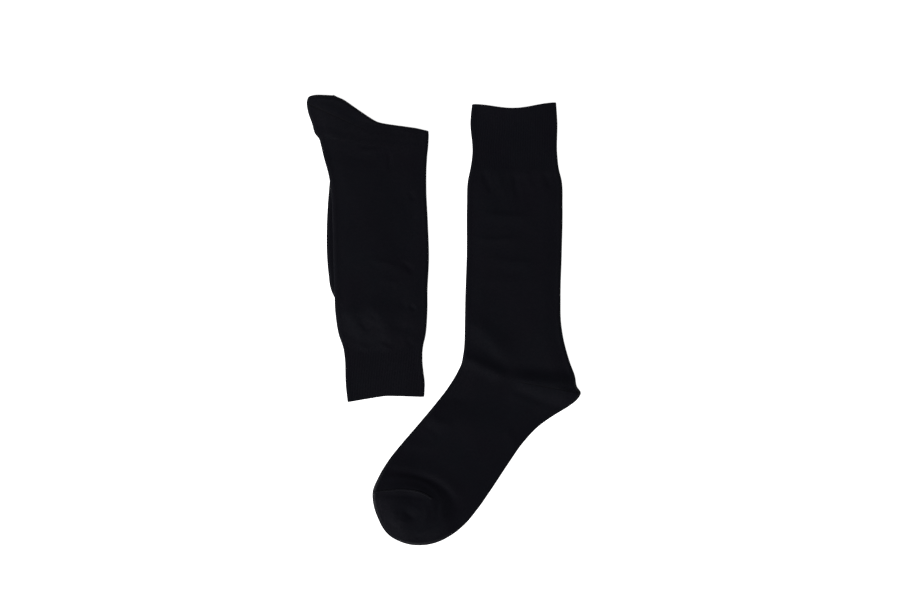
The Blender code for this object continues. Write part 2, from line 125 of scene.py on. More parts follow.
# %% The folded sock's courses
LEG_COURSES = [
    Course("mouth", (-20.2, -77.6), (-98.0, -82.9), 3.3, 0.3),
    Course("cuff", (-19.6, -66.0), (-99.7, -67.0), 1.0, 0.4),
    Course("cuff", (-22.0, -39.5), (-100.9, -38.0), 0.0, 0.4),
    Course("cuff end", (-21.6, -28.5), (-102.3, -28.5), 0.0, 0.4),
    Course("leg head", (-18.8, -15.0), (-106.8, -15.0), 0.0, 0.7),
    Course("calf", (-17.0, 8.5), (-110.4, 8.5), 0.0, 0.7),
    Course("calf", (-16.8, 31.0), (-111.2, 31.0), 0.0, 0.7),
    Course("calf", (-15.4, 61.5), (-112.3, 61.5), 0.0, 0.7),
    Course("shin", (-16.5, 100.0), (-113.2, 100.0), 0.0, 0.7),
    Course("shin", (-18.0, 133.0), (-114.8, 133.0), 0.0, 0.8),
    Course("ankle", (-18.0, 151.0), (-117.5, 149.5), 0.0, 0.9),
    Course("ankle", (-17.3, 164.5), (-122.2, 166.5), 0.0, 1.0),
    Course("ankle", (-16.9, 170.0), (-124.8, 177.5), -0.6, 1.1),
    Course("ankle", (-16.5, 173.0), (-127.0, 185.0), -1.4, 1.2),
    Course("heel notch", (-16.2, 176.0), (-131.0, 190.0), -3.0, 1.2),
    Course("heel start", (-15.9, 180.0), (-134.0, 200.0), -5.0, 1.0),
    Course("heel", (-15.7, 184.0), (-138.5, 213.5), -7.5, 0.8),
    Course("heel tip", (-15.6, 186.0), (-139.5, 221.5), -9.1, 0.6),
    Course("heel", (-15.6, 187.8), (-137.8, 227.4), -10.1, 0.5),
    Course("heel", (-15.6, 189.3), (-131.0, 229.2), -10.8, 0.4),
    Course("heel", (-15.8, 190.7), (-121.5, 229.1), -11.1, 0.4),
    Course("fold", (-16.3, 192.2), (-112.8, 228.6), -10.9, 0.4),
]

FOOT_COURSES = [
    Course("fold", (-16.3, 192.2), (-112.8, 228.6), -10.9, 0.0),
    Course("heel", (-17.0, 180.0), (-113.2, 204.0), -5.0, 0.0),
    Course("heel end", (-18.5, 168.5), (-114.0, 175.5), -2.0, 0.0),
    Course("foot", (-19.5, 148.0), (-115.0, 150.0), 0.0, 0.0),
    Course("foot", (-19.5, 115.5), (-117.5, 117.5), 0.0, 0.0),
    Course("foot", (-19.2, 90.0), (-118.6, 92.0), 0.0, 0.0),
    Course("foot", (-19.8, 66.5), (-118.4, 68.5), 0.0, 0.0),
    Course("toe start", (-22.0, 45.5), (-116.9, 48.5), 0.0, 0.0),
    Course("toe seam", (-27.5, 28.0), (-113.8, 30.0), 0.0, 0.0),
    Course("toe", (-37.5, 14.0), (-104.5, 15.0), 0.0, 0.0),
    Course("toe", (-52.0, 5.2), (-89.5, 5.5), 0.0, 0.0),
    Course("toe end", (-70.8, 2.0), (-70.8, 2.0), 0.0, 0.0),
]
print("the folded sock is drawn with", len(LEG_COURSES) + len(FOOT_COURSES), "courses")

# %% [markdown]
# ## From a table to a smooth tube
#
# Between two courses the edges have to run on smoothly, as cloth does. A spline object could do
# that, but a small cubic in numpy gives every ring at once and keeps the numbers of the table
# exactly where they were put.

# %% Smooth curves through the courses
def smooth_step(value):
    """0 up to 0, 1 from 1 on, and an even ease between: v * v * (3 - 2 v)."""
    value = np.clip(value, 0.0, 1.0)
    return value * value * (3.0 - 2.0 * value)


def smooth_curve(stations, values, at):
    """A cubic through each row of values, whose slope at a row is the mean of its two sides."""
    gaps = np.diff(stations)[:, None]
    steps = np.diff(values, axis=0) / gaps
    slopes = np.empty_like(values)
    slopes[0] = steps[0]
    slopes[-1] = steps[-1]
    slopes[1:-1] = (steps[:-1] * gaps[1:] + steps[1:] * gaps[:-1]) / (gaps[1:] + gaps[:-1])
    piece = np.clip(np.searchsorted(stations, at, side="right") - 1, 0, len(gaps) - 1)
    gap = gaps[piece]
    t = (at - stations[piece])[:, None] / gap
    return (
        values[piece] * (1 + 2 * t) * (1 - t) ** 2
        + values[piece + 1] * t**2 * (3 - 2 * t)
        + slopes[piece] * gap * t * (1 - t) ** 2
        - slopes[piece + 1] * gap * t**2 * (1 - t)
    )


print("a quarter of the way along, the ease is at", smooth_step(0.25))

# %% [markdown]
# A table of courses becomes arrays once, and any ring of the tube is then read off its curves.
# The yarn's loops stand out a little from the drawn edges.

# %% Tables as tubes, and rings between the courses
Tube = namedtuple("Tube", "stations table closed")
Rings = namedtuple("Rings", "along front back bow swell to_toe")
FAR = 1e6  # mm to the toe, for a tube that is open there
EDGE_OUT = 0.25  # the yarn's loops stand out from the edges by this much


def unit_ways(edge):
    """The direction along an edge at each of its points: its slope over that slope's length."""
    way = np.gradient(edge, axis=0)
    return way / np.hypot(way[:, 0], way[:, 1])[:, None]


def tube_from(courses, closed):
    """A table of courses as arrays. A course's station is how far along the tube it is: the mean
    of the ways that its two ends have come. Past a closed toe comes one more row with its edges
    swapped, so that the curves along the edges run round the toe. By what the loops stand out,
    the front edge is then moved to the right of its way and the back edge to the left. That is
    outwards on every tube but the folded foot, which runs the other way."""
    table = np.array([(*c.front, *c.back, c.bow, c.swell) for c in courses])
    if closed:
        table = np.vstack([table, table[-2, [2, 3, 0, 1, 4, 5]]])
    for edge, turn in ((table[:, 0:2], 1), (table[:, 2:4], -1)):
        way = unit_ways(edge)
        edge += np.column_stack([way[:, 1], -way[:, 0]]) * turn * EDGE_OUT
    moves = np.diff(table[:, :4], axis=0)
    lengths = (np.hypot(moves[:, 0], moves[:, 1]) + np.hypot(moves[:, 2], moves[:, 3])) / 2
    return Tube(np.concatenate([[0.0], np.cumsum(lengths)]), table, closed)


def rings_at(tube, along):
    """The tube's edges, bow and swell at stations, and each ring's way along the middle to the
    toe, if the tube is closed and the last station is its end."""
    rows = smooth_curve(tube.stations, tube.table, along)
    front = rows[:, 0:2]
    back = rows[:, 2:4]
    to_toe = np.full(len(rows), FAR)
    if tube.closed and np.isclose(along[-1], tube.stations[-2]):
        front[-1] = back[-1] = (front[-1] + back[-1]) / 2
        walk = np.hypot(*np.diff((front + back) / 2, axis=0).T)
        to_toe = np.append(np.cumsum(walk[::-1])[::-1], 0.0)
    return Rings(along, front, back, rows[:, 4], rows[:, 5], to_toe)


def inset_rings(rings, distance):
    """The same rings with the front edge moved to the left of its way and the back edge to the
    right, which is into the tube on the spread sock and on the leg. The folded foot runs the
    other way, so there it is out of the tube, and its inner skin stands out past its outer one
    in a thin lip. That is a known flaw, hidden by the leg but for the foot's left edge."""
    moved = []
    for edge, turn in ((rings.front, 1), (rings.back, -1)):
        way = unit_ways(edge)
        moved.append(edge + np.column_stack([-way[:, 1], way[:, 0]]) * turn * distance)
    if rings.to_toe[-1] == 0:
        moved[0][-1] = moved[1][-1] = (moved[0][-1] + moved[1][-1]) / 2
    to_toe = np.maximum(rings.to_toe - distance, 0.0)
    return rings._replace(front=moved[0], back=moved[1], to_toe=to_toe)


spread_tube = tube_from(SPREAD_COURSES, closed=True)
leg_tube = tube_from(LEG_COURSES, closed=False)
foot_tube = tube_from(FOOT_COURSES, closed=True)
print("along the spread sock:", round(spread_tube.stations[-2]), "mm")

# %% [markdown]
# ## Across the tube
#
# A flat tube has an upper and a lower panel that meet in two rounded edges. Points are placed
# evenly along the cloth, not along the table, so the rounded edges get their share of points and
# every wale gets the same width. At an edge the section is a quarter of an ellipse.

# %% Places across a panel
WALL = 1.1  # one layer of the knit
HOLLOW = 0.5  # air between the two panels
HALF_TUBE = WALL + HOLLOW / 2
EDGE_TURN = 2.0  # plan width over which a panel rounds into its edge
NARROW_TURN = 0.7  # share of a narrow ring's half width that may be rounded
CORNER_BLEND = 4  # power that rounds the corner between the distances to the side and the toe
TINY = 1e-6


def soft_bow(share):
    """A course that runs ahead in a soft curve, level at both of its ends: sin squared."""
    return np.sin(np.pi * share) ** 2


def pointed_bow(share, point=0.1):
    """A course that runs ahead nearly straight to its middle and back, as the fold does."""
    from_middle = np.hypot(2 * share - 1, point)
    return (np.hypot(1, point) - from_middle) / (np.hypot(1, point) - point)


print("a quarter of the way across, a soft bow is at", round(float(soft_bow(0.25)), 2))

# %% [markdown]
# A ring's points are laid out in plan first. Their distance from the nearest edge then tells the
# surface where to round off, where to spring up and where creases die away.

# %% A panel in plan
def panel_plan(rings, places, bow_shape):
    """Plan points across a panel, with their distance from the tube's nearest edge.

    places run from 0 at the front edge to 1 at the back one, evenly along the cloth. Within a
    rounded edge the distance from the edge is turn * (1 - cos(angle)), and between the rounded
    edges it grows evenly. A point is middle + half * across + ahead * bow."""
    middle = ((rings.front + rings.back) / 2)[:, None]
    half = ((rings.back - rings.front) / 2)[:, None]
    width = np.maximum(np.hypot(half[..., 0], half[..., 1]), TINY)
    turn = np.minimum(EDGE_TURN, NARROW_TURN * width)
    arc = np.pi / 2 * np.sqrt((turn**2 + (HALF_TUBE * turn / EDGE_TURN) ** 2) / 2)
    whole = 2 * arc + 2 * (width - turn)
    near = whole * np.minimum(places, 1 - places)[None]
    in_edge = turn * (1 - np.cos(np.pi / 2 * np.clip(near / arc, 0, 1)))
    from_side = in_edge + np.maximum(near - arc, 0)
    across = np.sign(places - 0.5)[None] * (1 - from_side / width)
    ahead = np.stack([half[..., 1], -half[..., 0]], axis=-1) / width[..., None]
    share = (1 + across) / 2
    bow = rings.bow[:, None] * bow_shape(share)
    points = middle + half * across[..., None] + ahead * bow[..., None]
    # A course that meets an edge on the slant is nearer to that edge than its own length says.
    slants = []
    for edge in (rings.front, rings.back):
        way = unit_ways(edge)
        cross = way[:, 0] * half[:, 0, 1] - way[:, 1] * half[:, 0, 0]
        slants.append(np.abs(cross)[:, None] / width)
    slant = slants[0] * (1 - share) + slants[1] * share
    to_side = np.maximum(from_side * slant, TINY)
    to_end = np.maximum(rings.to_toe, TINY)[:, None]
    to_edge = (to_side**-CORNER_BLEND + to_end**-CORNER_BLEND) ** (-1 / CORNER_BLEND)
    return points, to_edge


def edge_round(to_edge, reach):
    """0 at an edge and 1 from its reach on, round like a quarter of an ellipse."""
    return np.sqrt(1 - (1 - np.clip(to_edge / reach, 0.0, 1.0)) ** 2)


print("a panel's half section is", HALF_TUBE, "mm high and turns over", EDGE_TURN, "mm")

# %% [markdown]
# ## Creases
#
# Black cloth shows its form only by its creases, so they are placed one by one. Each is a bent
# line through three points with a height, below zero for a trough, and a half width on each side
# of it: a steep flank catches more light or lies in deeper shade than a long one. Sculpting would
# do it too, but a table can be read, moved and mended.

# %% The crease formula
Crease = namedtuple("Crease", "name start middle end height left right")
CREASE_STEPS = 33
CREASE_FADE = 3.5  # creases die away this near to an edge
CREASE_END = 0.35  # share of its line over which a crease rises to its full height
CREASE_REACH = 3  # half widths past which a crease is flat


def crease_height(points, creases):
    """Height of the creases at plan points: the sum of height * rise * exp(-(d / width) ** 2).
    d is the distance to the crease's line, with its own width on either side of it. rise eases
    from 0 at the line's two ends to 1, by the share of the line that lies nearest."""
    height = np.zeros(points.shape[:-1])
    t = np.linspace(0.0, 1.0, CREASE_STEPS)[:, None]
    for crease in creases:
        start, middle, end = (np.array(corner) for corner in crease[1:4])
        reach = CREASE_REACH * max(crease.left, crease.right)
        low = np.minimum(np.minimum(start, middle), end) - reach
        high = np.maximum(np.maximum(start, middle), end) + reach
        near = np.all((points > low) & (points < high), axis=-1)
        spots = points[near]
        pull = 2 * middle - (start + end) / 2
        line = (1 - t) ** 2 * start + 2 * t * (1 - t) * pull + t**2 * end
        way = np.gradient(line, axis=0)
        step = np.hypot(way[:, 0], way[:, 1])
        way /= step[:, None]
        apart = spots[:, None] - line
        nearest = (apart**2).sum(axis=-1).argmin(axis=-1)
        offset = apart[np.arange(len(spots)), nearest]
        along = (offset * way[nearest]).sum(axis=-1) / step[nearest]
        share = np.clip((nearest + along) / (CREASE_STEPS - 1), 0.0, 1.0)
        to_left = way[nearest, 0] * offset[:, 1] - way[nearest, 1] * offset[:, 0]
        width = np.where(to_left > 0, crease.left, crease.right)
        rise = smooth_step(np.minimum(share, 1 - share) / CREASE_END)
        height[near] += crease.height * rise * np.exp(-((to_left / width) ** 2))
    return height


print("a crease's line is tried at", CREASE_STEPS, "places")

# %% [markdown]
# The spread sock has its deepest creases where a flat sock can't lie flat: round the heel pocket
# and round the toe pocket. Finer ones cross the ankle, and the leg has faint ripples and, just
# below the cuff, the small puckers that a tight rib draws into a wider leg.

# %% The spread sock's creases
SPREAD_CREASES = [
    Crease("cuff shoulder", (16.0, 154.0), (72.0, 151.0), (128.0, 153.0), 0.4, 9.0, 5.0),
    Crease("cuff pucker", (40.0, 155.0), (43.5, 142.0), (51.0, 127.0), -0.5, 3.5, 3.5),
    Crease("cuff pucker", (54.5, 154.0), (57.0, 140.0), (61.0, 125.0), 0.35, 4.0, 4.0),
    Crease("cuff pucker", (70.0, 154.0), (73.0, 138.0), (75.0, 118.0), -0.45, 4.0, 3.0),
    Crease("cuff pucker", (84.5, 154.0), (86.5, 143.0), (88.5, 130.0), 0.3, 3.5, 4.0),
    Crease("cuff pucker", (102.0, 153.0), (105.5, 143.0), (111.0, 132.0), -0.35, 3.0, 3.5),
    Crease("calf ripple", (36.0, 109.5), (62.0, 106.5), (93.0, 106.5), 0.55, 3.5, 7.0),
    Crease("calf ripple", (24.0, 85.0), (52.0, 82.0), (84.0, 84.5), 0.4, 3.0, 4.5),
    Crease("calf ripple", (44.0, 63.5), (70.0, 59.0), (98.0, 58.0), 0.4, 4.0, 6.0),
    Crease("calf ripple", (28.0, 45.0), (56.0, 40.0), (84.0, 44.0), 0.25, 6.0, 6.0),
    Crease("shin ridge", (17.0, 6.0), (46.0, -16.5), (73.0, -48.0), 1.3, 11.0, 8.5),
    Crease("ankle trough", (16.0, -17.0), (44.0, -33.0), (70.0, -54.0), -0.3, 6.0, 5.0),
    Crease("ankle ridge", (3.0, -30.0), (41.0, -47.5), (71.0, -61.0), 1.8, 6.5, 7.0),
    Crease("heel trough", (64.0, -48.0), (98.0, -50.0), (146.0, -51.0), -0.4, 8.0, 6.0),
    Crease("heel ridge", (60.0, -60.5), (102.0, -64.5), (160.0, -73.0), 3.1, 8.5, 17.0),
    Crease("heel gore dip", (62.0, -64.0), (94.0, -80.0), (136.0, -93.0), -0.9, 6.0, 5.0),
    Crease("instep dip", (-14.0, -86.0), (8.0, -80.0), (30.0, -82.5), -0.35, 5.0, 5.5),
    Crease("instep swell", (-34.0, -97.0), (8.0, -102.0), (66.0, -104.0), 1.7, 17.0, 20.0),
    Crease("instep crease", (-16.0, -96.0), (-3.0, -104.0), (14.0, -107.0), 0.5, 5.0, 5.0),
    Crease("instep crease", (-22.0, -106.0), (-12.0, -112.0), (-1.0, -121.0), -0.35, 3.5, 4.0),
    Crease("instep crease", (-48.0, -121.0), (-24.0, -128.0), (2.0, -127.0), 0.35, 6.0, 5.0),
    Crease("sole crease", (60.0, -109.0), (69.0, -121.0), (70.0, -137.0), 0.35, 4.0, 6.0),
    Crease("toe outer ridge", (-85.0, -147.0), (-7.0, -158.5), (26.5, -206.0), 0.5, 8.0, 4.5),
    Crease("toe outer trough", (-54.0, -156.5), (-5.5, -167.0), (11.5, -197.0), -0.65, 3.5, 3.5),
    Crease("toe front swell", (-74.0, -143.0), (-48.0, -147.0), (-24.0, -149.5), 0.8, 20.0, 6.0),
    Crease("toe dome", (-125.0, -178.0), (-18.0, -180.5), (10.0, -300.0), 3.7, 12.0, 70.0),
    Crease("toe dome side", (-100.0, -178.0), (-62.0, -178.0), (-30.0, -179.0), 1.5, 9.0, 30.0),
    Crease("toe dome edge", (-76.0, -163.0), (-22.0, -164.0), (2.0, -196.0), 0.5, 2.5, 2.5),
    Crease("toe streak", (-13.0, -184.0), (-5.5, -193.0), (-11.0, -206.0), -0.45, 2.5, 2.5),
    Crease("toe streak", (-24.0, -187.0), (-17.0, -198.0), (-27.0, -212.0), 0.4, 2.5, 3.0),
    Crease("toe streak", (-60.0, -199.0), (-52.0, -209.0), (-41.0, -213.0), -0.35, 2.0, 3.0),
    Crease("toe streak", (-33.0, -217.0), (-20.0, -216.0), (-11.0, -210.0), 0.35, 3.0, 2.0),
    Crease("toe seam bed", (-84.0, -174.0), (-36.0, -171.5), (-4.0, -185.0), 0.7, 4.5, 3.5),
    Crease("toe seam shade", (-74.0, -178.5), (-42.0, -178.5), (-14.0, -182.5), -0.5, 3.0, 2.5),
    Crease("toe fold", (-2.0, -178.0), (-8.0, -195.0), (-24.0, -210.0), -0.6, 2.5, 3.5),
    Crease("toe fold", (-58.0, -188.5), (-34.0, -189.0), (-18.0, -201.0), 0.3, 3.0, 3.0),
    Crease("toe dimple", (-42.0, -193.0), (-35.5, -198.0), (-27.0, -203.5), -0.7, 3.2, 2.6),
    Crease("toe bump", (-47.0, -203.0), (-42.0, -204.5), (-37.0, -208.0), 0.4, 2.5, 2.5),
    Crease("toe rim", (-81.0, -166.0), (-64.0, -213.0), (-24.0, -240.0), -2.3, 9.0, 12.0),
    Crease("toe rim swell", (-54.0, -186.0), (-46.0, -206.0), (-32.0, -222.0), 0.7, 14.0, 5.0),
    Crease("toe low side", (-34.0, -240.0), (-2.0, -224.0), (22.0, -196.0), -1.8, 11.0, 14.0),
]
print("the spread sock has", len(SPREAD_CREASES), "creases")

# %% [markdown]
# The folded sock's leg lies over the toe of its own foot and comes down to the table past it,
# and the slack there gathers in short broken creases. Its heel rises towards the fold.

# %% The folded sock's creases
LEG_CREASES = [
    Crease("heel swell", (-152.0, 227.0), (-120.0, 226.5), (-84.0, 211.0), 1.2, 3.5, 22.0),
    Crease("ankle dip", (-116.0, 177.0), (-92.0, 166.0), (-66.0, 169.0), -0.3, 8.0, 8.0),
    Crease("ankle crease", (-90.0, 174.0), (-77.0, 172.5), (-63.0, 174.5), 0.35, 2.5, 3.5),
    Crease("ankle crease", (-57.5, 174.0), (-55.0, 163.0), (-56.0, 150.0), -0.35, 2.5, 2.5),
    Crease("calf swell", (-88.0, 184.0), (-78.0, 100.0), (-71.0, 22.0), 1.4, 24.0, 23.0),
    Crease("calf hollow", (-38.0, 158.0), (-34.0, 92.0), (-40.0, 44.0), -0.95, 10.0, 18.0),
    Crease("calf dimple", (-35.0, 132.5), (-32.5, 126.5), (-29.5, 120.5), -0.4, 2.5, 2.5),
    Crease("calf ripple", (-77.0, 61.0), (-60.0, 58.5), (-39.0, 50.0), 0.4, 3.5, 4.0),
    Crease("calf ripple", (-67.0, 42.5), (-54.0, 39.5), (-40.0, 38.5), 0.3, 3.0, 4.5),
    Crease("calf dimple", (-43.5, 60.5), (-36.0, 54.0), (-28.5, 48.0), -0.6, 3.0, 3.0),
    Crease("toe edge left", (-104.0, 12.0), (-96.5, 4.5), (-91.0, -5.0), 0.65, 9.0, 4.5),
    Crease("toe edge middle", (-84.0, 20.0), (-64.0, 3.0), (-57.0, -22.0), 1.1, 13.0, 6.0),
    Crease("toe edge low", (-66.0, -9.0), (-59.0, -16.0), (-48.0, -22.0), 0.5, 8.0, 4.0),
    Crease("toe edge dimple", (-37.0, 15.5), (-32.0, 13.0), (-28.0, 10.0), -0.65, 2.0, 2.0),
    Crease("toe edge lump", (-84.0, 8.0), (-71.0, -1.0), (-60.0, -5.0), 0.3, 3.0, 2.5),
    Crease("toe edge dip", (-46.0, 20.0), (-41.5, 15.5), (-38.5, 9.0), -0.3, 3.0, 3.5),
    Crease("slack dip", (-88.0, 8.0), (-82.0, -4.0), (-74.0, -14.0), -0.7, 7.0, 3.5),
    Crease("slack dip", (-104.0, -7.0), (-94.5, -16.0), (-84.0, -21.0), -0.5, 6.0, 3.5),
    Crease("slack dip", (-56.0, -1.0), (-42.0, -8.0), (-24.0, -12.0), -0.6, 6.0, 5.5),
    Crease("cuff pucker", (-67.0, -22.0), (-59.5, -27.0), (-51.0, -29.5), 0.5, 2.5, 3.5),
    Crease("cuff pucker", (-92.0, -21.0), (-82.0, -27.0), (-72.0, -29.5), 0.35, 2.5, 3.5),
    Crease("cuff pucker", (-39.0, -17.0), (-35.0, -23.0), (-29.0, -28.0), -0.35, 3.0, 3.0),
]
print("the folded sock's leg has", len(LEG_CREASES), "creases")

# %% [markdown]
# ## How the tubes lie
#
# The spread tube's lower panel lies on the table. The folded sock's leg lies on its foot, so its
# middle is lifted over the foot's plan, a long oval, and comes down past it. Just before the
# fold the cloth stands up a little more, because it won't turn sharply, and so does the corner
# of the full heel pocket.

# %% The height of a tube's middle
FOOT_HALF = 1.5  # half the thickness of the folded foot
FOOT_TURN = 1.6  # plan width over which it rounds into its edge, pressed by the leg's weight
LAYER_GAP = 0.4  # air between the foot and the leg above it
FOLD_LOOP = 0.7  # the leg rises by this much more where it turns over
FOLD_LOOP_REACH = 14.0
HEEL_LOOP = 2.2  # the full heel pocket pushes its corner up by this much
HEEL_LOOP_REACH = 32.0
HEEL_CORNER = np.array((-100.0, 240.0))
DRAPE = 43.0  # distance over which the leg comes down to the table beyond the foot
FOOT_REACH = 51.0  # half width of the foot that the leg lies over
FOOT_HEEL_END = np.array((-65.0, 209.5))
FOOT_TOE_END = np.array((-70.0, 59.5))


def on_the_table(points):
    """The middle of a tube that lies straight on the table."""
    return np.full(points.shape[:-1], HALF_TUBE)


def fold_ahead():
    """The direction ahead at the fold, at right angles to its line."""
    fold = LEG_COURSES[-1]
    way = np.subtract(fold.back, fold.front)
    way = way / np.hypot(*way)
    return np.array([way[1], -way[0]])


def over_the_foot(points):
    """The leg's middle: above the foot, down on the table away from it, and up at the fold and
    at the heel's corner. Both rises are height * exp(-(distance / reach) ** 2)."""
    foot = FOOT_TOE_END - FOOT_HEEL_END
    share = np.clip(((points - FOOT_HEEL_END) @ foot) / (foot @ foot), 0.0, 1.0)
    beside = np.linalg.norm(points - FOOT_HEEL_END - share[..., None] * foot, axis=-1)
    rise = (2 * FOOT_HALF + LAYER_GAP) * (1 - smooth_step((beside - FOOT_REACH) / DRAPE))
    short_of_fold = np.maximum((LEG_COURSES[-1].front - points) @ fold_ahead(), 0.0)
    rise += FOLD_LOOP * np.exp(-((short_of_fold / FOLD_LOOP_REACH) ** 2))
    from_corner = np.linalg.norm(points - HEEL_CORNER, axis=-1)
    return HALF_TUBE + rise + HEEL_LOOP * np.exp(-((from_corner / HEEL_LOOP_REACH) ** 2))


print("the leg lies", 2 * FOOT_HALF + LAYER_GAP, "mm above the table over the foot")

# %% [markdown]
# ## The surface of a flat tube
#
# Now every point of a tube is a function of two parameters: how far along it is, and its place
# round it. The same function gives the inside, a wall's thickness further in.

# %% A tube's skin
SWELL_REACH = 20.0  # distance from the edge at which a panel is at its fullest
EDGE_BULGE = 0.2  # a folded knit edge springs up by this much
EDGE_BULGE_AT = 3.2  # mm from the edge
EDGE_BULGE_WIDTH = 1.8
# Each wave has its turn for a millimetre of x and of y, its share of the height and its start.
WAVES = np.array([(0.071, 0.038, 1.0, 0.5), (-0.052, 0.093, 0.8, 2.1), (0.19, 0.121, 0.35, 4.0)])
WAVE_HEIGHT = 0.12


def unevenness(points):
    """The slow rise and fall of cloth that looks flat: the sum of a few sines across the plan."""
    phase = points @ WAVES[:, :2].T + WAVES[:, 3]
    return WAVE_HEIGHT * (WAVES[:, 2] * np.sin(phase)).sum(axis=-1)


def ring_loop(upper, lower):
    """Points once round each ring: over the upper panel, then back under the lower one."""
    return np.concatenate([upper, lower[:, -2:0:-1]], axis=1)


def tube_skin(rings, steps, inset, creases, lift, bow_shape):
    """A skin of the tube as (ring, place, xyz). The lower panel is its middle height less a
    rounded half thickness. The upper one is that much above it, and rises by its swell, its
    springing edge, its creases and slow waves."""
    if inset:
        rings = inset_rings(rings, inset)
    places = np.arange(steps + 1) / steps
    points, to_edge = panel_plan(rings, places, bow_shape)
    half = (HALF_TUBE - inset) * edge_round(to_edge, EDGE_TURN - inset)
    from_edge = to_edge + inset
    swell = rings.swell[:, None] * smooth_step(from_edge / SWELL_REACH)
    spring = EDGE_BULGE * np.exp(-(((from_edge - EDGE_BULGE_AT) / EDGE_BULGE_WIDTH) ** 2))
    folds = crease_height(points, creases) + unevenness(points)
    above = half + swell + (folds + spring * edge_round(to_edge, EDGE_TURN)) * smooth_step(
        from_edge / CREASE_FADE
    )
    middle = lift(points)
    return ring_loop(
        np.dstack([points, middle + above]),
        np.dstack([points, np.maximum(middle - half, 0.0)]),
    )


def foot_skin(rings, steps, inset):
    """The folded foot's skin: its middle height less and plus a rounded half thickness. It has
    turned over, so what is on top in the leg is below here."""
    if inset:
        rings = inset_rings(rings, inset)
    places = np.arange(steps + 1) / steps
    points, to_edge = panel_plan(rings, places, pointed_bow)
    half = (FOOT_HALF - inset) * edge_round(to_edge, FOOT_TURN - inset)
    return ring_loop(np.dstack([points, FOOT_HALF - half]), np.dstack([points, FOOT_HALF + half]))


print("a panel swells over", SWELL_REACH, "mm from its edge")

# %% [markdown]
# ## From a grid to a mesh
#
# A shell of cloth is one grid: the outer skin from its far end to the near one, round the rim,
# and back along the inner skin. It is either a loop of rows, for a cuff that is open at both
# ends, or it runs from pole to pole, for a tube whose toe is closed. The knit's own map counts
# wales across and courses along, so one unit of it is one stitch.

# %% Meshes with a knit map
Skin = namedtuple("Skin", "grid wales starts ends pocket")
SHARP_ANGLE = 75  # degrees; only the flat rims, where two pieces meet, are sharper


def grid_faces(rows, around, looped):
    """Corner indices of the quads between neighbouring rows, a point's next neighbour round its
    ring wrapping to the first. A looped grid also joins its last row to its first."""
    first = np.arange(rows if looped else rows - 1)
    second = (first + 1) % rows
    place = np.arange(around)
    after = (place + 1) % around
    corners = [(first, place), (first, after), (second, after), (second, place)]
    return np.stack([row[:, None] * around + column for row, column in corners], axis=-1)


def grid_map(wales, starts, ends):
    """The knit map of the same corners: wales has one more column than the ring has points, and
    starts and ends give the courses where each strip of quads starts and where it ends."""
    strips = len(starts)
    second = (np.arange(strips) + 1) % len(wales)
    low, high = wales[:strips], wales[second]
    corners = [
        (low[:, :-1], starts[:, :-1]),
        (low[:, 1:], starts[:, 1:]),
        (high[:, 1:], ends[:, 1:]),
        (high[:, :-1], ends[:, :-1]),
    ]
    return np.stack([np.stack(corner, axis=-1) for corner in corners], axis=2)


print("a looped grid of 3 rings with 4 points has", grid_faces(3, 4, True)[..., 0].size, "faces")

# %% [markdown]
# The mesh takes its points and faces from the grid. The knit map goes into a UV layer, and what
# the second yarn of the heel and the toe needs goes into an attribute of the points.

# %% A closed shell of cloth
def cloth_object(name, skin, looped):
    """A closed shell from its skin in millimetres, with its knit map and its pockets' facts."""
    grid, pocket = skin.grid, skin.pocket
    rows, around = grid.shape[:2]
    faces = grid_faces(rows, around, looped)
    knit = grid_map(skin.wales, skin.starts, skin.ends)
    if looped:
        points = grid.reshape(-1, 3)
        corners = faces.reshape(-1, 4).tolist()
        places = knit.reshape(-1, 2)
    else:
        # The first and the last row are poles: each is one point, with a fan of triangles.
        points, pocket = (
            np.vstack([values[0, :1], values[1:-1].reshape(-1, 3), values[-1, :1]])
            for values in (grid, pocket)
        )
        faces = np.clip(faces - around + 1, 0, len(points) - 1)
        fan_in = faces[0][:, [0, 2, 3]]
        fan_out = faces[-1][:, [0, 1, 2]]
        corners = fan_in.tolist() + faces[1:-1].reshape(-1, 4).tolist() + fan_out.tolist()
        places = np.vstack(
            [
                knit[0][:, [0, 2, 3]].reshape(-1, 2),
                knit[1:-1].reshape(-1, 2),
                knit[-1][:, [0, 1, 2]].reshape(-1, 2),
            ]
        )
    mesh = bpy.data.meshes.new(name)
    mesh.from_pydata((points * MM).tolist(), [], corners)
    layer = mesh.uv_layers.new(name="knit")
    layer.uv.foreach_set("vector", places.astype(np.float32).ravel())
    facts = mesh.attributes.new("pocket", "FLOAT_VECTOR", "POINT")
    facts.data.foreach_set("vector", pocket.astype(np.float32).ravel())
    mesh.shade_smooth()
    mesh.set_sharp_from_angle(angle=np.radians(SHARP_ANGLE))
    piece = bpy.data.objects.new(name, mesh)
    bpy.context.scene.collection.objects.link(piece)
    print(name, "has", len(corners), "faces")
    return piece


# %% [markdown]
# ## Counting stitches
#
# The machine has 204 needles, so each panel is 102 wales wide. Where the toe narrows, the wales
# keep their width and end at its edge. In the heel the machine knits to and fro on half of its
# needles, so the back of the sock gets courses of its own, which meet in a slanting line from
# the ankle to the tip of the heel, the gore line. There the map jumps, and the stitches meet at
# an angle as they do in the real pocket.

# %% The knit map of a tube
WALES = 102  # of one panel
LEG_WIDTH = 96.5  # mm, of a panel of the leg
COURSE = 0.62  # mm
TOE_WIDTH = 84.0  # the foot's width where the toe starts to narrow


def wale_numbers(rings, steps):
    """Wales round each ring: evenly over the upper panel from -51 to 51, and on beneath it."""
    width = np.hypot(*(rings.back - rings.front).T)
    narrowing = np.minimum(width / TOE_WIDTH, 1.0)[:, None]
    turn = np.arange(2 * steps + 1) / steps * WALES - WALES / 2
    return turn * narrowing


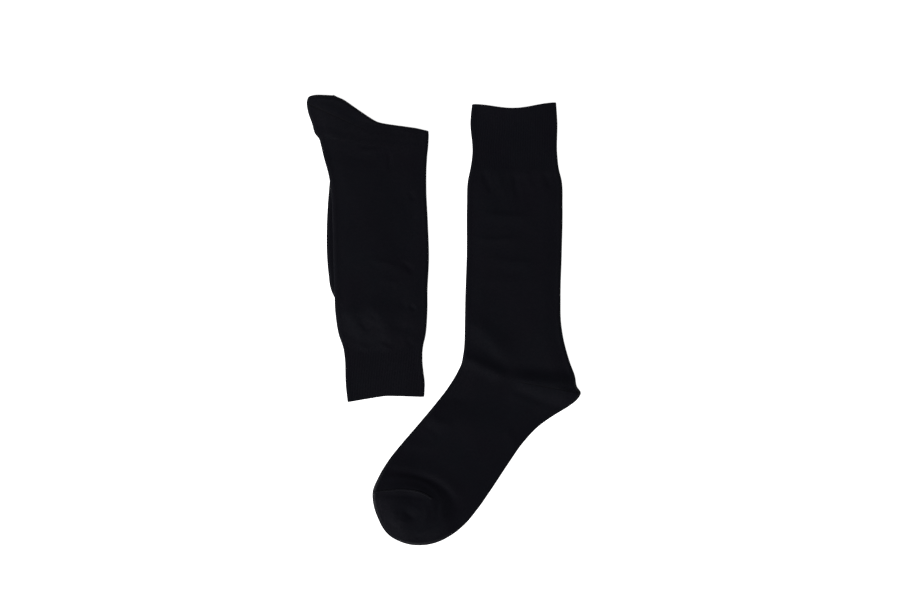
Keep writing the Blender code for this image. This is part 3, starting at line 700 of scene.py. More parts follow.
def toward_back(around):
    """For each point round a ring: -1 at the front edge and 1 at the back one."""
    place = np.arange(around) / around * 2
    return np.where(place < 1, 2 * place - 1, 3 - 2 * place)


print("one wale of the leg is", round(LEG_WIDTH / WALES, 2), "mm wide and a course", COURSE, "high")

# %% [markdown]
# The courses are numbered by how far along the tube they are. In the back half of the heel every
# wale counts its own length instead, from both ends of the pocket to the gore line.

# %% Courses and pockets
GORE_EASE = 3.0  # the pocket's count comes in over a third of the way to the back
YARN_CHANGE = 1.5  # mm over which the heel's and toe's second yarn comes in

Pockets = namedtuple("Pockets", "heel_start heel_tip heel_end toe_start")


def course_numbers(rings, grid, pockets):
    """Courses at the start and the end of each strip: the station over the course height, and in
    the heel's back half each wale's own length instead of the middle's."""
    around = grid.shape[1]
    steps = np.linalg.norm(np.diff(grid, axis=0), axis=-1)
    own = np.vstack([np.zeros(around), np.cumsum(steps, axis=0)])
    station = rings.along[:, None]
    back = smooth_step(toward_back(around) * GORE_EASE)[None]
    number = np.arange(len(grid))[:, None]
    start, tip, end = pockets.heel_start, pockets.heel_tip, pockets.heel_end
    before = own - own[start] - (station - station[start])
    after = own - own[end] - (station - station[end])
    above = np.where((number >= start) & (number <= tip), before, 0.0)
    below = np.where((number >= tip) & (number <= end), after, 0.0)
    starts = (station + back * np.where(number < tip, above, below))[:-1]
    ends = (station + back * np.where(number <= tip, above, below))[1:]
    starts = np.hstack([starts, starts[:, :1]]) / COURSE
    ends = np.hstack([ends, ends[:, :1]]) / COURSE
    return starts, ends


def pocket_facts(rings, around, pockets):
    """Three numbers for each point: how far along it is from the heel's gore line, its place
    towards the back, and the share of the second yarn with its painted sheen, 1 in the heel and
    toe pockets."""
    along = np.repeat(rings.along[:, None], around, axis=1)
    back = np.repeat(toward_back(around)[None], len(along), axis=0)
    start, tip, end, toe = (rings.along[number] for number in pockets)
    heel = smooth_step((along - start) / YARN_CHANGE) * smooth_step((end - along) / YARN_CHANGE)
    heel *= smooth_step(back * WALES / 2)
    share = heel + smooth_step((along - toe) / YARN_CHANGE)
    return np.stack([along - tip, back, share], axis=-1)


def knit_skin(rings, grid, pockets):
    """A skin with its knit map and its pockets' facts."""
    wales = wale_numbers(rings, WALES)
    starts, ends = course_numbers(rings, grid, pockets)
    return Skin(grid, wales, starts, ends, pocket_facts(rings, grid.shape[1], pockets))


print("the second yarn comes in over", YARN_CHANGE, "mm")

# %% [markdown]
# ## Leg and foot of the spread sock
#
# The outer skin is fine, because it carries the creases. The inner one is seen only through the
# mouth, so its rings may be further apart. Both end in a pole at the toe, and meet in a flat rim
# where the cuff starts.

# %% Spread leg and foot
RING_GAP = 1.5  # mm between rings of an outer skin
INNER_GAP = 3.5


def station_of(tube, courses, name):
    """The station of the first course with that name."""
    return tube.stations[[course.name for course in courses].index(name)]


def stations_between(start, end, gap):
    """Even stations from a start to an end, as near to a gap apart as a whole number allows."""
    return np.linspace(start, end, int(round((end - start) / gap)) + 1)


def nearest_ring(rings, station):
    """The number of the ring whose station is nearest to this one."""
    return int(np.abs(rings.along - station).argmin())


def join_skins(outer, inner):
    """One skin from the outer toe to the cuff's end, round the rim and back along the inside."""
    rim = outer.starts[:1]
    return Skin(
        np.concatenate([outer.grid[::-1], inner.grid]),
        np.concatenate([outer.wales[::-1], inner.wales]),
        np.concatenate([outer.ends[::-1], rim, inner.starts]),
        np.concatenate([outer.starts[::-1], rim, inner.ends]),
        np.concatenate([outer.pocket[::-1], inner.pocket]),
    )


cuff_end = station_of(spread_tube, SPREAD_COURSES, "cuff end")
toe_end = spread_tube.stations[-2]
spread_skins = []
for inset, gap in ((0.0, RING_GAP), (WALL, INNER_GAP)):
    rings = rings_at(spread_tube, stations_between(cuff_end, toe_end, gap))
    skin = tube_skin(rings, WALES, inset, SPREAD_CREASES, on_the_table, soft_bow)
    skin[-1] = skin[-1].mean(axis=0)
    pockets = Pockets(
        *(
            nearest_ring(rings, station_of(spread_tube, SPREAD_COURSES, name))
            for name in ("heel start", "heel tip", "heel end", "toe start")
        )
    )
    spread_skins.append(knit_skin(rings, skin, pockets))
spread_body = cloth_object("spread_leg_and_foot", join_skins(*spread_skins), looped=False)

# %% [markdown]
# ## Leg and foot of the folded sock
#
# It is the same tube, so its skins are made the same way up to the fold. There each point goes
# half round on its own circle, from where it is in the leg to where it is in the foot: the
# upper panel on a wide circle and the lower one on a tight circle inside it.

# %% Folded leg and foot
FOLD_STEPS = 10
FOLD_PUSH = 0.6  # a share of 1 would make the fold half a circle
FOLD_CORNER = 0.25  # the push at the fold's two corners
FOLD_CORNER_REACH = 0.3  # share of half a panel over which it grows to the whole

leg_cuff_end = station_of(leg_tube, LEG_COURSES, "cuff end")


def fold_turn(last_leg, first_foot):
    """Rings round the fold: middle + arm * cos(angle), pushed ahead by arm * push * sin(angle).
    The fold is pressed, so the push is under 1, and least at its two corners."""
    middle = (last_leg + first_foot) / 2
    arm = (last_leg - first_foot) / 2
    from_corner = 1 - np.abs(toward_back(len(arm)))
    push = FOLD_CORNER + (FOLD_PUSH - FOLD_CORNER) * smooth_step(from_corner / FOLD_CORNER_REACH)
    angle = (np.pi * np.arange(1, FOLD_STEPS) / FOLD_STEPS)[:, None, None]
    turn = middle + arm * np.cos(angle)
    turn[..., :2] += fold_ahead() * (arm[:, 2:] * push[:, None] * np.sin(angle))
    return turn


def folded_skin(inset, gap):
    """The leg, the turn and the foot as one skin, with its rings' facts for the knit map."""
    leg = rings_at(leg_tube, stations_between(leg_cuff_end, leg_tube.stations[-1], gap))
    foot = rings_at(foot_tube, stations_between(0.0, foot_tube.stations[-2], gap))
    leg_part = tube_skin(leg, WALES, inset, LEG_CREASES, over_the_foot, pointed_bow)
    foot_part = foot_skin(foot, WALES, inset)
    foot_part[-1] = foot_part[-1].mean(axis=0)
    turn = fold_turn(leg_part[-1], foot_part[0])
    turn_length = np.pi * np.abs(leg_part[-1] - foot_part[0])[:, 2].mean() / 2
    turning = leg.along[-1] + turn_length * np.arange(1, FOLD_STEPS) / FOLD_STEPS
    facts = [np.repeat(values[-1:], FOLD_STEPS - 1, axis=0) for values in leg]
    facts[0] = turning
    beyond = foot._replace(along=foot.along + leg.along[-1] + turn_length)
    rings = Rings(*(np.concatenate(parts) for parts in zip(leg, facts, beyond)))
    before_foot = len(leg.along) + FOLD_STEPS - 1
    pockets = Pockets(
        nearest_ring(leg, station_of(leg_tube, LEG_COURSES, "heel start")),
        nearest_ring(leg, station_of(leg_tube, LEG_COURSES, "heel tip")),
        before_foot + nearest_ring(foot, station_of(foot_tube, FOOT_COURSES, "heel end")),
        before_foot + nearest_ring(foot, station_of(foot_tube, FOOT_COURSES, "toe start")),
    )
    return knit_skin(rings, np.concatenate([leg_part, turn, foot_part]), pockets)


folded_skins = [folded_skin(0.0, RING_GAP), folded_skin(WALL, INNER_GAP)]
folded_body = cloth_object("folded_leg_and_foot", join_skins(*folded_skins), looped=False)

# %% [markdown]
# ## The cuffs
#
# The cuff is knitted in rib: every other wale stands up and the ones between sink in, on both
# faces, so that it stretches and grips. Here the ribs are real relief. The cuff's last ring takes
# its points from the straight sides of the leg's first ring, so the two pieces meet with no gap.
# At the mouth the wall turns over in a half-round edge, the welt.

# %% Ribbed cuffs
RIB_POINTS = 3  # points for each wale
RIB_DEPTH = 0.2
RIB_GAP = 1.6  # mm between rings
RIB_CREST = 0.8  # a power under 1 broadens the crests
WELT_STEPS = 6
WELT_FADE = 4.0  # mm over which the ribs rise behind the welt
CUFF_FADE = 2.5  # mm over which they die away before the leg


def grid_normals(grid):
    """Unit normals of a grid of rings, away from the tube: way round crossed with way along."""
    along = np.gradient(grid, axis=0)
    around = np.roll(grid, -1, axis=1) - np.roll(grid, 1, axis=1)
    normals = np.cross(along, around)
    return normals / np.maximum(np.linalg.norm(normals, axis=-1), TINY)[..., None]


def finer_ring(ring, times):
    """A ring's points, with even steps added on its straight sides."""
    share = np.arange(times)[None, :, None] / times
    after = np.roll(ring, -1, axis=0)
    return (ring[:, None] * (1 - share) + after[:, None] * share).reshape(-1, 3)


def rib_relief(wales, phase):
    """0 on a rib's crest and -1 in the sharp groove between two: |cos| of a quarter turn a wale,
    which comes back to its crest every second wale."""
    return np.abs(np.cos(np.pi / 2 * (wales - phase))) ** RIB_CREST - 1


print("a rib rises", RIB_DEPTH, "mm above its grooves")

# %% [markdown]
# A cuff is made from its sock's own tube, so it follows the same courses and creases. What stands
# up outside sinks in inside, so the inner skin's ribs are one wale further on.

# %% The two cuffs
def ribbed_cuff(name, tube, courses, creases, lift, bow_shape, leg_rings):
    """A cuff from the mouth to where the leg starts: the tube's outer and inner skin, each moved
    along its normals by the ribs' relief, with the leg's first rings as their last ones, and a
    half round welt between them at the mouth."""
    end = station_of(tube, courses, "cuff end")
    rings = rings_at(tube, stations_between(0.0, end, RIB_GAP))
    steps = WALES * RIB_POINTS
    wales = wale_numbers(rings, steps)
    fade = smooth_step((end - rings.along) / CUFF_FADE) * smooth_step(rings.along / WELT_FADE)
    skins = []
    for inset, phase, sign in ((0.0, 0.5, 1), (WALL, 1.5, -1)):
        skin = tube_skin(rings, steps, inset, creases, lift, bow_shape)
        relief = RIB_DEPTH * rib_relief(wales[:, :-1], phase) * fade[:, None]
        skin = skin + grid_normals(skin) * (sign * relief)[..., None]
        skin[..., 2] = np.maximum(skin[..., 2], 0.0)
        skins.append(skin)
    outer, inner = skins
    outer[-1] = finer_ring(leg_rings[0], RIB_POINTS)
    inner[-1] = finer_ring(leg_rings[1], RIB_POINTS)
    # The welt: half a circle from the outer skin's first ring to the inner one's.
    middle = (outer[0] + inner[0]) / 2
    arm = (outer[0] - inner[0]) / 2
    out = outer[0] - outer[1]
    out[:, 2] = 0.0
    out /= np.linalg.norm(out, axis=-1)[:, None]
    angle = (np.pi * np.arange(1, WELT_STEPS) / WELT_STEPS)[:, None, None]
    reach = np.linalg.norm(arm, axis=-1)[:, None]
    welt = middle + arm * np.cos(angle) + out * reach * np.sin(angle)
    welt[..., 2] = np.maximum(welt[..., 2], 0.0)
    grid = np.concatenate([outer[::-1], welt, inner])
    columns = np.concatenate([wales[::-1], np.repeat(wales[:1], WELT_STEPS - 1, axis=0), wales])
    turn = -np.arange(1, WELT_STEPS) * WALL / WELT_STEPS
    courses_up = np.concatenate([rings.along[::-1], turn, rings.along - WALL]) / COURSE
    starts = np.repeat(courses_up[:, None], columns.shape[1], axis=1)
    ends = np.roll(starts, -1, axis=0)
    ends[-1] = starts[-1]
    return cloth_object(name, Skin(grid, columns, starts, ends, np.zeros_like(grid)), looped=True)


spread_cuff = ribbed_cuff(
    "spread_cuff",
    spread_tube,
    SPREAD_COURSES,
    SPREAD_CREASES,
    on_the_table,
    soft_bow,
    [skin.grid[0] for skin in spread_skins],
)
folded_cuff = ribbed_cuff(
    "folded_cuff",
    leg_tube,
    LEG_COURSES,
    LEG_CREASES,
    over_the_foot,
    pointed_bow,
    [skin.grid[0] for skin in folded_skins],
)

# %% [markdown]
# ## The toe seam
#
# The toe is closed by linking: a row of chain stitches across the top of the toes, from one side
# of the foot to the other. In side view it starts at the front edge, where it makes a small bump
# in the outline, and ends in a knot in the middle of the panel. A bump texture would be cheaper,
# but a chain of real loops keeps its shape in close-up and in the outline.

# %% The seam's path over the toe
SEAM_PATH = [(-71.6, -174.9), (-61.0, -173.6), (-37.0, -172.8), (-22.0, -176.0), (-12.5, -181.5)]
LINK_PITCH = 0.95  # mm from one link to the next
PATH_STEPS = 400  # places at which the curve is measured
LEAST_UP = 0.3  # the steepest slope that is followed, as the upward part of its normal


def on_surface(grid, plan):
    """Points of a skin over plan points, with the skin's normals there. It takes the nearest
    point of the grid and follows the surface's slope from it."""
    upper = grid[:, : WALES + 1].reshape(-1, 3)
    normals = grid_normals(grid)[:, : WALES + 1].reshape(-1, 3)
    nearest = ((upper[None, :, :2] - plan[:, None]) ** 2).sum(axis=-1).argmin(axis=-1)
    spot, up = upper[nearest], normals[nearest]
    step = plan - spot[:, :2]
    height = spot[:, 2] - (up[:, :2] * step).sum(axis=-1) / np.maximum(up[:, 2], LEAST_UP)
    return np.column_stack([plan, height]), up


def even_path(corners, pitch):
    """Points every pitch along a smooth curve through a few corners."""
    corners = np.array(corners)
    stations = np.concatenate([[0.0], np.cumsum(np.hypot(*np.diff(corners, axis=0).T))])
    fine = smooth_curve(stations, corners, np.linspace(0.0, stations[-1], PATH_STEPS))
    walked = np.concatenate([[0.0], np.cumsum(np.hypot(*np.diff(fine, axis=0).T))])
    at = np.arange(0.0, walked[-1], pitch)
    return np.column_stack([np.interp(at, walked, fine[:, axis]) for axis in range(2)])


seam_spots, seam_ups = on_surface(spread_skins[0].grid, even_path(SEAM_PATH, LINK_PITCH))
print("the seam has room for", len(seam_spots), "links")

# %% [markdown]
# Each link is an oval of yarn, and its front end lies over the link beside it. Real yarn gives
# way where two loops cross. These ovals don't, so there they cut a little into each other, which
# is too fine to be seen from a step away.

# %% A chain of yarn loops
LINK_LENGTH = 1.8
LINK_WIDTH = 1.5
LINK_TAPER = 0.3  # share by which a link narrows towards its front end
YARN_RADIUS = 0.24
LINK_LIFT = 1.1  # a link's height above the cloth, in radii of the yarn
LINK_TILT = 0.9  # how much higher its front end is than that
LINK_POINTS = 12
YARN_SIDES = 6


def chain_points(spots, ups):
    """Points of every link, as (link, point round the link, point round the yarn, xyz). A link is
    an oval of the chain's length and width that tapers and rises to its front end, and the yarn
    is a circle round that oval."""
    way = np.gradient(spots, axis=0)
    way /= np.linalg.norm(way, axis=-1)[:, None]
    side = np.cross(ups, way)
    side /= np.linalg.norm(side, axis=-1)[:, None]
    up = np.cross(way, side)
    turn = 2 * np.pi * np.arange(LINK_POINTS) / LINK_POINTS
    round_yarn = 2 * np.pi * np.arange(YARN_SIDES) / YARN_SIDES
    oval = np.stack(
        [
            LINK_LENGTH / 2 * np.cos(turn),
            LINK_WIDTH / 2 * np.sin(turn) * (1 - LINK_TAPER * np.cos(turn)),
            YARN_RADIUS * (LINK_LIFT + LINK_TILT * np.cos(turn)),
        ],
        axis=-1,
    )
    out = np.stack([np.cos(turn) / LINK_LENGTH, np.sin(turn) / LINK_WIDTH, 0 * turn], axis=-1)
    out /= np.linalg.norm(out, axis=-1)[:, None]
    yarn = out[:, None] * np.cos(round_yarn)[None, :, None] * YARN_RADIUS
    yarn = yarn + np.array([0.0, 0.0, YARN_RADIUS]) * np.sin(round_yarn)[None, :, None]
    local = oval[:, None] + yarn
    axes = np.stack([way, side, up], axis=1)
    points = spots[:, None, None] + np.einsum("pyk,lkx->lpyx", local, axes)
    points[..., 2] = np.maximum(points[..., 2], 0.0)
    return points


def chain_object(name, points):
    """All links as one mesh: each is a closed ring of quads."""
    links, around, sides = points.shape[:3]
    number = np.arange(links * around * sides).reshape(links, around, sides)
    after = np.roll(number, -1, axis=1)
    faces = np.stack(
        [number, after, np.roll(after, -1, axis=2), np.roll(number, -1, axis=2)],
        axis=-1,
    )
    mesh = bpy.data.meshes.new(name)
    mesh.from_pydata((points.reshape(-1, 3) * MM).tolist(), [], faces.reshape(-1, 4).tolist())
    mesh.shade_smooth()
    piece = bpy.data.objects.new(name, mesh)
    bpy.context.scene.collection.objects.link(piece)
    print(name, "has", links, "links")
    return piece


toe_seam = chain_object("toe_seam", chain_points(seam_spots, seam_ups))

# %% [markdown]
# ## Knitted cloth as a material
#
# Plain knit shows its stitches as columns of small Vs. They are far too small to model on a
# whole sock, so they become a pattern in the material, built from shader nodes. A few helpers
# keep the node trees short enough to read.

# %% Node helpers
def new_group(name, inputs, outputs):
    """A shader node group with named float, vector or colour sockets, and its end nodes."""
    group = bpy.data.node_groups.new(name, "ShaderNodeTree")
    for label, kind, value in inputs:
        socket = group.interface.new_socket(label, in_out="INPUT", socket_type=kind)
        if value is not None:
            socket.default_value = value
    for label, kind in outputs:
        group.interface.new_socket(label, in_out="OUTPUT", socket_type=kind)
    start = group.nodes.new("NodeGroupInput")
    end = group.nodes.new("NodeGroupOutput")
    return group, start.outputs, end.inputs


def feed(tree, value, socket):
    """Links a socket, or sets a plain value."""
    if isinstance(value, bpy.types.NodeSocket):
        tree.links.new(value, socket)
    else:
        socket.default_value = value


def maths(tree, operation, *values):
    """The result of one Math node."""
    node = tree.nodes.new("ShaderNodeMath")
    node.operation = operation
    for value, socket in zip(values, node.inputs):
        feed(tree, value, socket)
    return node.outputs[0]


def noise(tree, vector, scale, detail=2.0):
    """Soft noise, from 0 to 1, with so many waves in a metre."""
    node = tree.nodes.new("ShaderNodeTexNoise")
    feed(tree, vector, node.inputs["Vector"])
    node.inputs["Scale"].default_value = scale
    node.inputs["Detail"].default_value = detail
    return node.outputs["Fac"]


def mapped(tree, value, low, high, to_low, to_high):
    """A value's range moved evenly onto another one, and held within it."""
    node = tree.nodes.new("ShaderNodeMapRange")
    for number, socket in zip((value, low, high, to_low, to_high), node.inputs):
        feed(tree, number, socket)
    return node.outputs[0]


def mixed(tree, share, first, second):
    """Two colours mixed by a share."""
    node = tree.nodes.new("ShaderNodeMix")
    node.data_type = "RGBA"
    feed(tree, share, node.inputs["Factor"])
    feed(tree, first, node.inputs["A"])
    feed(tree, second, node.inputs["B"])
    return node.outputs["Result"]


print("a node group has", len([new_group, feed, maths, noise, mapped, mixed]), "helpers")

# %% [markdown]
# The stitch pattern is worked out from the knit map in a node group, because the jersey and the
# rib both use it: within each wale the yarn runs up and outwards on both sides, and a cosine of
# the course makes it round. The group puts out a height for the bump, and for the colour the deep
# gaps between the yarns, which are darkened there as painted shade.

# %% The knit stitch group
FLOAT = "NodeSocketFloat"
VECTOR = "NodeSocketVector"
COLOUR = "NodeSocketColor"
YARN_FULLNESS = 0.6  # a power under 1 makes the yarn's round fuller
FULL_STITCH = 0.66  # brings the highest stitch to about 1
# painted shade: the colour is darkened where the stitch is low, in the gaps between the yarns
GAP_SHADE_FLOOR = 0.05  # stitch height at which a gap is at its darkest
GAP_SHADE_RIM = 0.6  # stitch height at which it ends

stitch_group, ins, outs = new_group(
    "knit stitch",
    [("Map", VECTOR, None), ("Slant", FLOAT, 0.8), ("Evenness", FLOAT, 0.5)],
    [("Height", FLOAT), ("Gap_Shade", FLOAT)],
)
parts = stitch_group.nodes.new("ShaderNodeSeparateXYZ")
stitch_group.links.new(ins["Map"], parts.inputs[0])
in_wale = maths(stitch_group, "FRACT", parts.outputs[0])
from_middle = maths(stitch_group, "ABSOLUTE", maths(stitch_group, "SUBTRACT", in_wale, 0.5))
outward = maths(stitch_group, "MULTIPLY", from_middle, 2.0)
leg_round = maths(stitch_group, "SINE", maths(stitch_group, "MULTIPLY", outward, np.pi))
leg_round = maths(stitch_group, "MAXIMUM", leg_round, 0.0)
leg_height = maths(stitch_group, "POWER", leg_round, YARN_FULLNESS)
climb = maths(stitch_group, "MULTIPLY_ADD", outward, ins["Slant"], parts.outputs[1])
wave = maths(stitch_group, "COSINE", maths(stitch_group, "MULTIPLY", climb, 2 * np.pi))
yarn_height = maths(stitch_group, "MULTIPLY_ADD", wave, ins["Evenness"], 1.0)
raw_height = maths(stitch_group, "MULTIPLY", leg_height, yarn_height)
stitch_height = maths(stitch_group, "MULTIPLY", raw_height, FULL_STITCH)
feed(stitch_group, stitch_height, outs["Height"])
# the second output is painted shade, a mask of the low gaps between the yarns
feed(stitch_group, mapped(stitch_group, stitch_height, GAP_SHADE_FLOOR, GAP_SHADE_RIM, 1.0, 0.0), outs["Gap_Shade"])
print("the knit stitch group has", len(stitch_group.nodes), "nodes")

# %% [markdown]
# Dyed yarn is never quite one colour. Slow patches are a little bluer or duller, single fibres
# catch light, and a few specks of pale lint cling to it. One group gives that tone to every
# knitted piece from its place on the sock, and darkens the gaps between the yarns with painted
# shade.

# %% The dyed yarn group
PATCH_WAVES = 28.0  # in a metre: slow patches of tone
STREAK_WAVES = 320.0
FIBRE_WAVES = 2600.0
TONE_SPAN = (0.32, 0.68)  # the noise between these is spread from dark to light
STREAK_SPAN = (0.3, 0.7)  # and between these over the roughness
YARN_ROUGHNESS = (0.5, 0.62)
LINT_CELLS = 34.0  # in a metre, each with a speck or none
LINT_ABOVE = 0.93  # a cell has a speck if its random number is above this
LINT_RADII = (0.016, 0.03)  # of a speck's full and of its outer edge, in cells
LINT_COLOUR = (0.5, 0.5, 0.52, 1.0)

yarn_group, ins, outs = new_group(
    "dyed yarn",
    [
        ("Dark", COLOUR, (0.003, 0.003, 0.004, 1.0)),
        ("Light", COLOUR, (0.006, 0.006, 0.008, 1.0)),
        ("Gap_Shade", FLOAT, 0.0),
        ("Lint", FLOAT, 0.05),
    ],
    [("Color", COLOUR), ("Roughness", FLOAT), ("Fibres", FLOAT)],
)
place = yarn_group.nodes.new("ShaderNodeTexCoord").outputs["Object"]
patches = noise(yarn_group, place, PATCH_WAVES)
streaks = noise(yarn_group, place, STREAK_WAVES, detail=4.0)
fibres = noise(yarn_group, place, FIBRE_WAVES, detail=3.0)
tone = maths(yarn_group, "MULTIPLY_ADD", patches, 0.5, maths(yarn_group, "MULTIPLY", streaks, 0.5))
tone = mapped(yarn_group, tone, *TONE_SPAN, 0.0, 1.0)
# painted shade: in the gaps between the yarns the tone goes to the dark colour
tone = maths(yarn_group, "MULTIPLY", tone, maths(yarn_group, "SUBTRACT", 1.0, ins["Gap_Shade"]))
cloth_colour = mixed(yarn_group, tone, ins["Dark"], ins["Light"])
cells = yarn_group.nodes.new("ShaderNodeTexVoronoi")
cells.inputs["Scale"].default_value = LINT_CELLS
yarn_group.links.new(place, cells.inputs["Vector"])
chosen = yarn_group.nodes.new("ShaderNodeSeparateColor")
yarn_group.links.new(cells.outputs["Color"], chosen.inputs[0])
rare = maths(yarn_group, "GREATER_THAN", chosen.outputs[0], LINT_ABOVE)
speck = mapped(yarn_group, cells.outputs["Distance"], *LINT_RADII, 1.0, 0.0)
lint = maths(yarn_group, "MULTIPLY", maths(yarn_group, "MULTIPLY", speck, rare), ins["Lint"])
feed(yarn_group, mixed(yarn_group, lint, cloth_colour, LINT_COLOUR), outs["Color"])
feed(yarn_group, mapped(yarn_group, streaks, *STREAK_SPAN, *YARN_ROUGHNESS), outs["Roughness"])
feed(yarn_group, fibres, outs["Fibres"])
print("the dyed yarn group has", len(yarn_group.nodes), "nodes")

# %% [markdown]
# ## The materials
#
# The jersey, the rib and the linking yarn are the same dyed cotton, but the linking yarn is
# given a lighter colour, a painted highlight that makes the seam read as a bright line. They
# differ in their stitch: the rib's wales are drawn closer, and the linking yarn has only its
# fibres. Black cotton reflects little, so the shader's specular level is low, with a trace of
# sheen from the fibre ends.

# %% The heel's and toe's second yarn, with painted sheen
# painted sheen: the paler, bluer colour of the second yarn is partly its own tone and partly stands
# in for its shine
SECOND_YARN = 0.04  # share of its colour in the cloth's
SECOND_YARN_AND_SHEEN_COLOUR = (0.0060, 0.0070, 0.0095, 1.0)
GORE_WIDTH = 0.8  # mm
GORE_DEPTH = 1.5  # in heights of a stitch
# painted shade in the gore groove: a share of a near-black colour is mixed in there
GORE_SHADE = 0.6  # share of its colour in the groove
GORE_SHADE_COLOUR = (0.001, 0.001, 0.001, 1.0)
GORE_START = 0.04  # share of the way to the back over which the line comes in


def pocket_yarn(tree, colour, height):
    """The heel's and toe's second yarn makes the cloth paler, partly its own tone and partly
    painted sheen that stands in for its shine. The gore line is a fine groove in the height, with
    painted shade in the colour."""
    facts = tree.nodes.new("ShaderNodeAttribute")
    facts.attribute_name = "pocket"
    parts = tree.nodes.new("ShaderNodeSeparateXYZ")
    tree.links.new(facts.outputs["Vector"], parts.inputs[0])
    share = maths(tree, "MULTIPLY", parts.outputs[2], SECOND_YARN)
    paler = mixed(tree, share, colour, SECOND_YARN_AND_SHEEN_COLOUR)
    off_line = mapped(tree, maths(tree, "ABSOLUTE", parts.outputs[0]), 0.0, GORE_WIDTH, 1.0, 0.0)
    at_back = mapped(tree, parts.outputs[1], 0.0, GORE_START, 0.0, 1.0)
    gore = maths(tree, "MULTIPLY", off_line, at_back)
    grooved = maths(tree, "SUBTRACT", height, maths(tree, "MULTIPLY", gore, GORE_DEPTH))
    shaded = mixed(tree, maths(tree, "MULTIPLY", gore, GORE_SHADE), paler, GORE_SHADE_COLOUR)
    return shaded, grooved


print("the gore line is", GORE_WIDTH, "mm to each side of its middle")

# %% [markdown]
# One function makes all three materials. The bump of the stitches comes first, and the fine fuzz
# of the fibres goes on top of it.

# %% Knit materials
SPECULAR_LEVEL = 0.035
SHEEN = 0.005
SHEEN_ROUGHNESS = 0.5
STITCH_DEPTH = 0.25  # mm
FUZZ_DEPTH = 0.08  # mm
FUZZ_STRENGTH = 0.3
DARK_YARN = (0.0024, 0.0020, 0.0039)
LIGHT_YARN = (0.0020, 0.0028, 0.0044)
# painted highlight: the linking yarn is about twice as light as the jersey, so the seam shows
# bright
DARK_LINKING_HIGHLIGHT = (0.004, 0.004, 0.006)
LIGHT_LINKING_HIGHLIGHT = (0.008, 0.008, 0.011)


def knit_material(name, slant, evenness, stitch_bump, dark, light):
    """Dyed yarn in a stitch of that slant and evenness; no stitch where the bump is 0."""
    material = bpy.data.materials.new(name)
    material.use_nodes = True
    tree = material.node_tree
    shader = tree.nodes["Principled BSDF"]
    yarn = tree.nodes.new("ShaderNodeGroup")
    yarn.node_tree = yarn_group
    yarn.inputs["Dark"].default_value = (*dark, 1.0)
    yarn.inputs["Light"].default_value = (*light, 1.0)
    normal = None
    colour = yarn.outputs["Color"]
    if stitch_bump:
        stitch = tree.nodes.new("ShaderNodeGroup")
        stitch.node_tree = stitch_group
        stitch.inputs["Slant"].default_value = slant
        stitch.inputs["Evenness"].default_value = evenness
        knit_map = tree.nodes.new("ShaderNodeUVMap")
        knit_map.uv_map = "knit"
        tree.links.new(knit_map.outputs[0], stitch.inputs["Map"])
        # the stitch's gaps go to the colour as painted shade
        tree.links.new(stitch.outputs["Gap_Shade"], yarn.inputs["Gap_Shade"])
        bump = tree.nodes.new("ShaderNodeBump")
        bump.inputs["Strength"].default_value = stitch_bump
        bump.inputs["Distance"].default_value = STITCH_DEPTH * MM
        colour, height = pocket_yarn(tree, colour, stitch.outputs["Height"])
        tree.links.new(height, bump.inputs["Height"])
        normal = bump.outputs[0]
    fuzz = tree.nodes.new("ShaderNodeBump")
    fuzz.inputs["Strength"].default_value = FUZZ_STRENGTH
    fuzz.inputs["Distance"].default_value = FUZZ_DEPTH * MM
    tree.links.new(yarn.outputs["Fibres"], fuzz.inputs["Height"])
    if normal is not None:
        tree.links.new(normal, fuzz.inputs["Normal"])
    tree.links.new(fuzz.outputs[0], shader.inputs["Normal"])
    tree.links.new(colour, shader.inputs["Base Color"])
    tree.links.new(yarn.outputs["Roughness"], shader.inputs["Roughness"])
    shader.inputs["Specular IOR Level"].default_value = SPECULAR_LEVEL
    shader.inputs["Sheen Weight"].default_value = SHEEN
    shader.inputs["Sheen Roughness"].default_value = SHEEN_ROUGHNESS
    return material


jersey = knit_material(
    "jersey knit", slant=0.8, evenness=0.5, stitch_bump=0.5, dark=DARK_YARN, light=LIGHT_YARN
)
rib = knit_material(
    "rib knit", slant=0.6, evenness=0.45, stitch_bump=0.5, dark=DARK_YARN, light=LIGHT_YARN
)
# the linking yarn's lighter colours are a painted highlight
linking = knit_material(
    "linking yarn", slant=0.0, evenness=0.0, stitch_bump=0.0, dark=DARK_LINKING_HIGHLIGHT, light=LIGHT_LINKING_HIGHLIGHT
)
for piece, material in (
    (spread_body, jersey),
    (folded_body, jersey),
    (spread_cuff, rib),
    (folded_cuff, rib),
    (toe_seam, linking),
):
    piece.data.materials.append(material)
    print(piece.name, "is", material.name)

# %% [markdown]
# ## What stands for what
#
# Each new piece stands in for its solid and moves with the one body. The leg and foot and the
# cuff are sheets of cloth: their flat size is that of the tube slit open along its front edge,
# worked out here for the leg and foot.

def flat_area(tube, start, end):
    """Square metres of a tube's cloth all round between two stations: twice its plan area."""
    rings = rings_at(tube, stations_between(start, end, RING_GAP))
    outline = np.vstack([rings.front, rings.back[::-1]])
    after = np.roll(outline, -1, axis=0)
    twice = outline[:, 0] * after[:, 1] - outline[:, 1] * after[:, 0]
    return abs(twice.sum()) * MM**2


for piece, node in (
    (spread_body, "sock_spread"),
    (spread_cuff, "sock_spread"),
    (toe_seam, "sock_spread"),
    (folded_body, "sock_folded"),
    (folded_cuff, "sock_folded"),
):
    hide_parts(node)
    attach(piece, "root")

spread_area = flat_area(spread_tube, cuff_end, toe_end)
folded_area = flat_area(leg_tube, leg_cuff_end, leg_tube.stations[-1]) + flat_area(
    foot_tube, 0.0, foot_tube.stations[-2]
)
print("flat areas", round(spread_area, 4), round(folded_area, 4), "square metres")

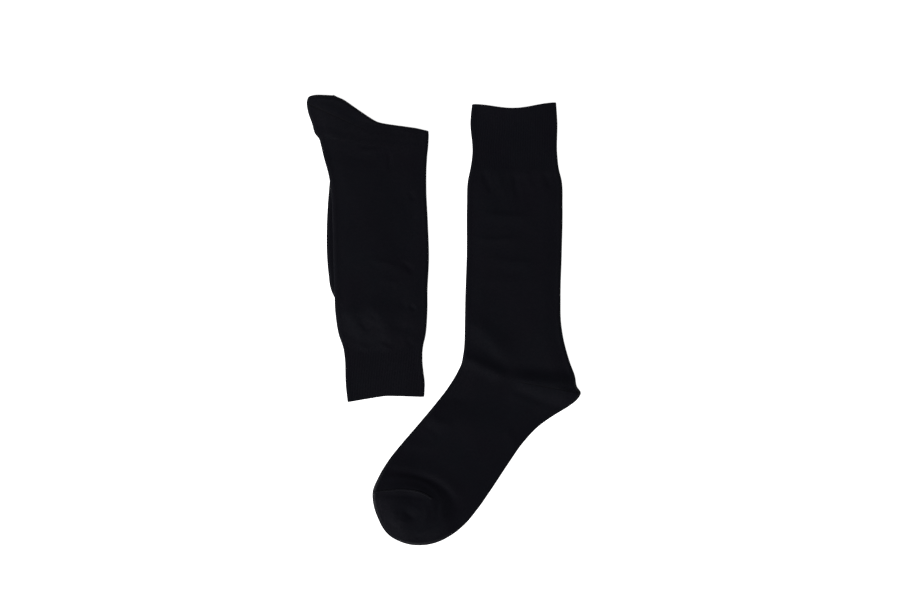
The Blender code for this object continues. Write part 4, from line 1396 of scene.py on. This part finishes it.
# %% [markdown]
# ## The table and the light
#
# Catalogue pictures of dark clothes are taken on a white table that glows a little, so that no
# shadow spoils the outline. The light comes from the lower left, low over the cloth: it gives
# every crease a bright flank and a dark one, and a weak even sky fills the dark ones.

# %% Table and lights
TABLE_SIZE = 6.0  # m
TABLE_DROP = 0.1  # mm below the cloth, so that the two don't flicker
TABLE_GLOW = 0.8
SKY = 0.45
KEY_STRENGTH = 4.5
KEY_HEIGHT = 30.0  # degrees above the table
KEY_FROM = 225.0  # degrees from +X towards +Y
KEY_SPREAD = 25.0  # degrees that the light's face takes up

half_table = TABLE_SIZE / 2
table_corners = [
    (x * half_table, y * half_table, -TABLE_DROP * MM)
    for x, y in ((-1, -1), (1, -1), (1, 1), (-1, 1))
]
table_mesh = bpy.data.meshes.new("table")
table_mesh.from_pydata(table_corners, [], [(0, 1, 2, 3)])
table = bpy.data.objects.new("table", table_mesh)
bpy.context.scene.collection.objects.link(table)
paint = bpy.data.materials.new("white table")
paint.use_nodes = True
paint_shader = paint.node_tree.nodes["Principled BSDF"]
paint_shader.inputs["Base Color"].default_value = (0.9, 0.9, 0.9, 1)
paint_shader.inputs["Roughness"].default_value = 0.9
paint_shader.inputs["Emission Color"].default_value = (1.0, 1.0, 1.0, 1)
paint_shader.inputs["Emission Strength"].default_value = TABLE_GLOW
table_mesh.materials.append(paint)

world = bpy.data.worlds.new("studio")
world.use_nodes = True
world.node_tree.nodes["Background"].inputs["Color"].default_value = (1.0, 1.0, 1.0, 1.0)
world.node_tree.nodes["Background"].inputs["Strength"].default_value = SKY
bpy.context.scene.world = world

key = bpy.data.objects.new("key", bpy.data.lights.new("key", "SUN"))
key.data.energy = KEY_STRENGTH
key.data.angle = np.radians(KEY_SPREAD)
key.rotation_euler = (0.0, np.radians(90.0 - KEY_HEIGHT), np.radians(KEY_FROM))
bpy.context.scene.collection.objects.link(key)
bpy.context.scene.view_settings.view_transform = "Standard"
print("the sky is", SKY, "and the key light", KEY_STRENGTH, "W a square metre")
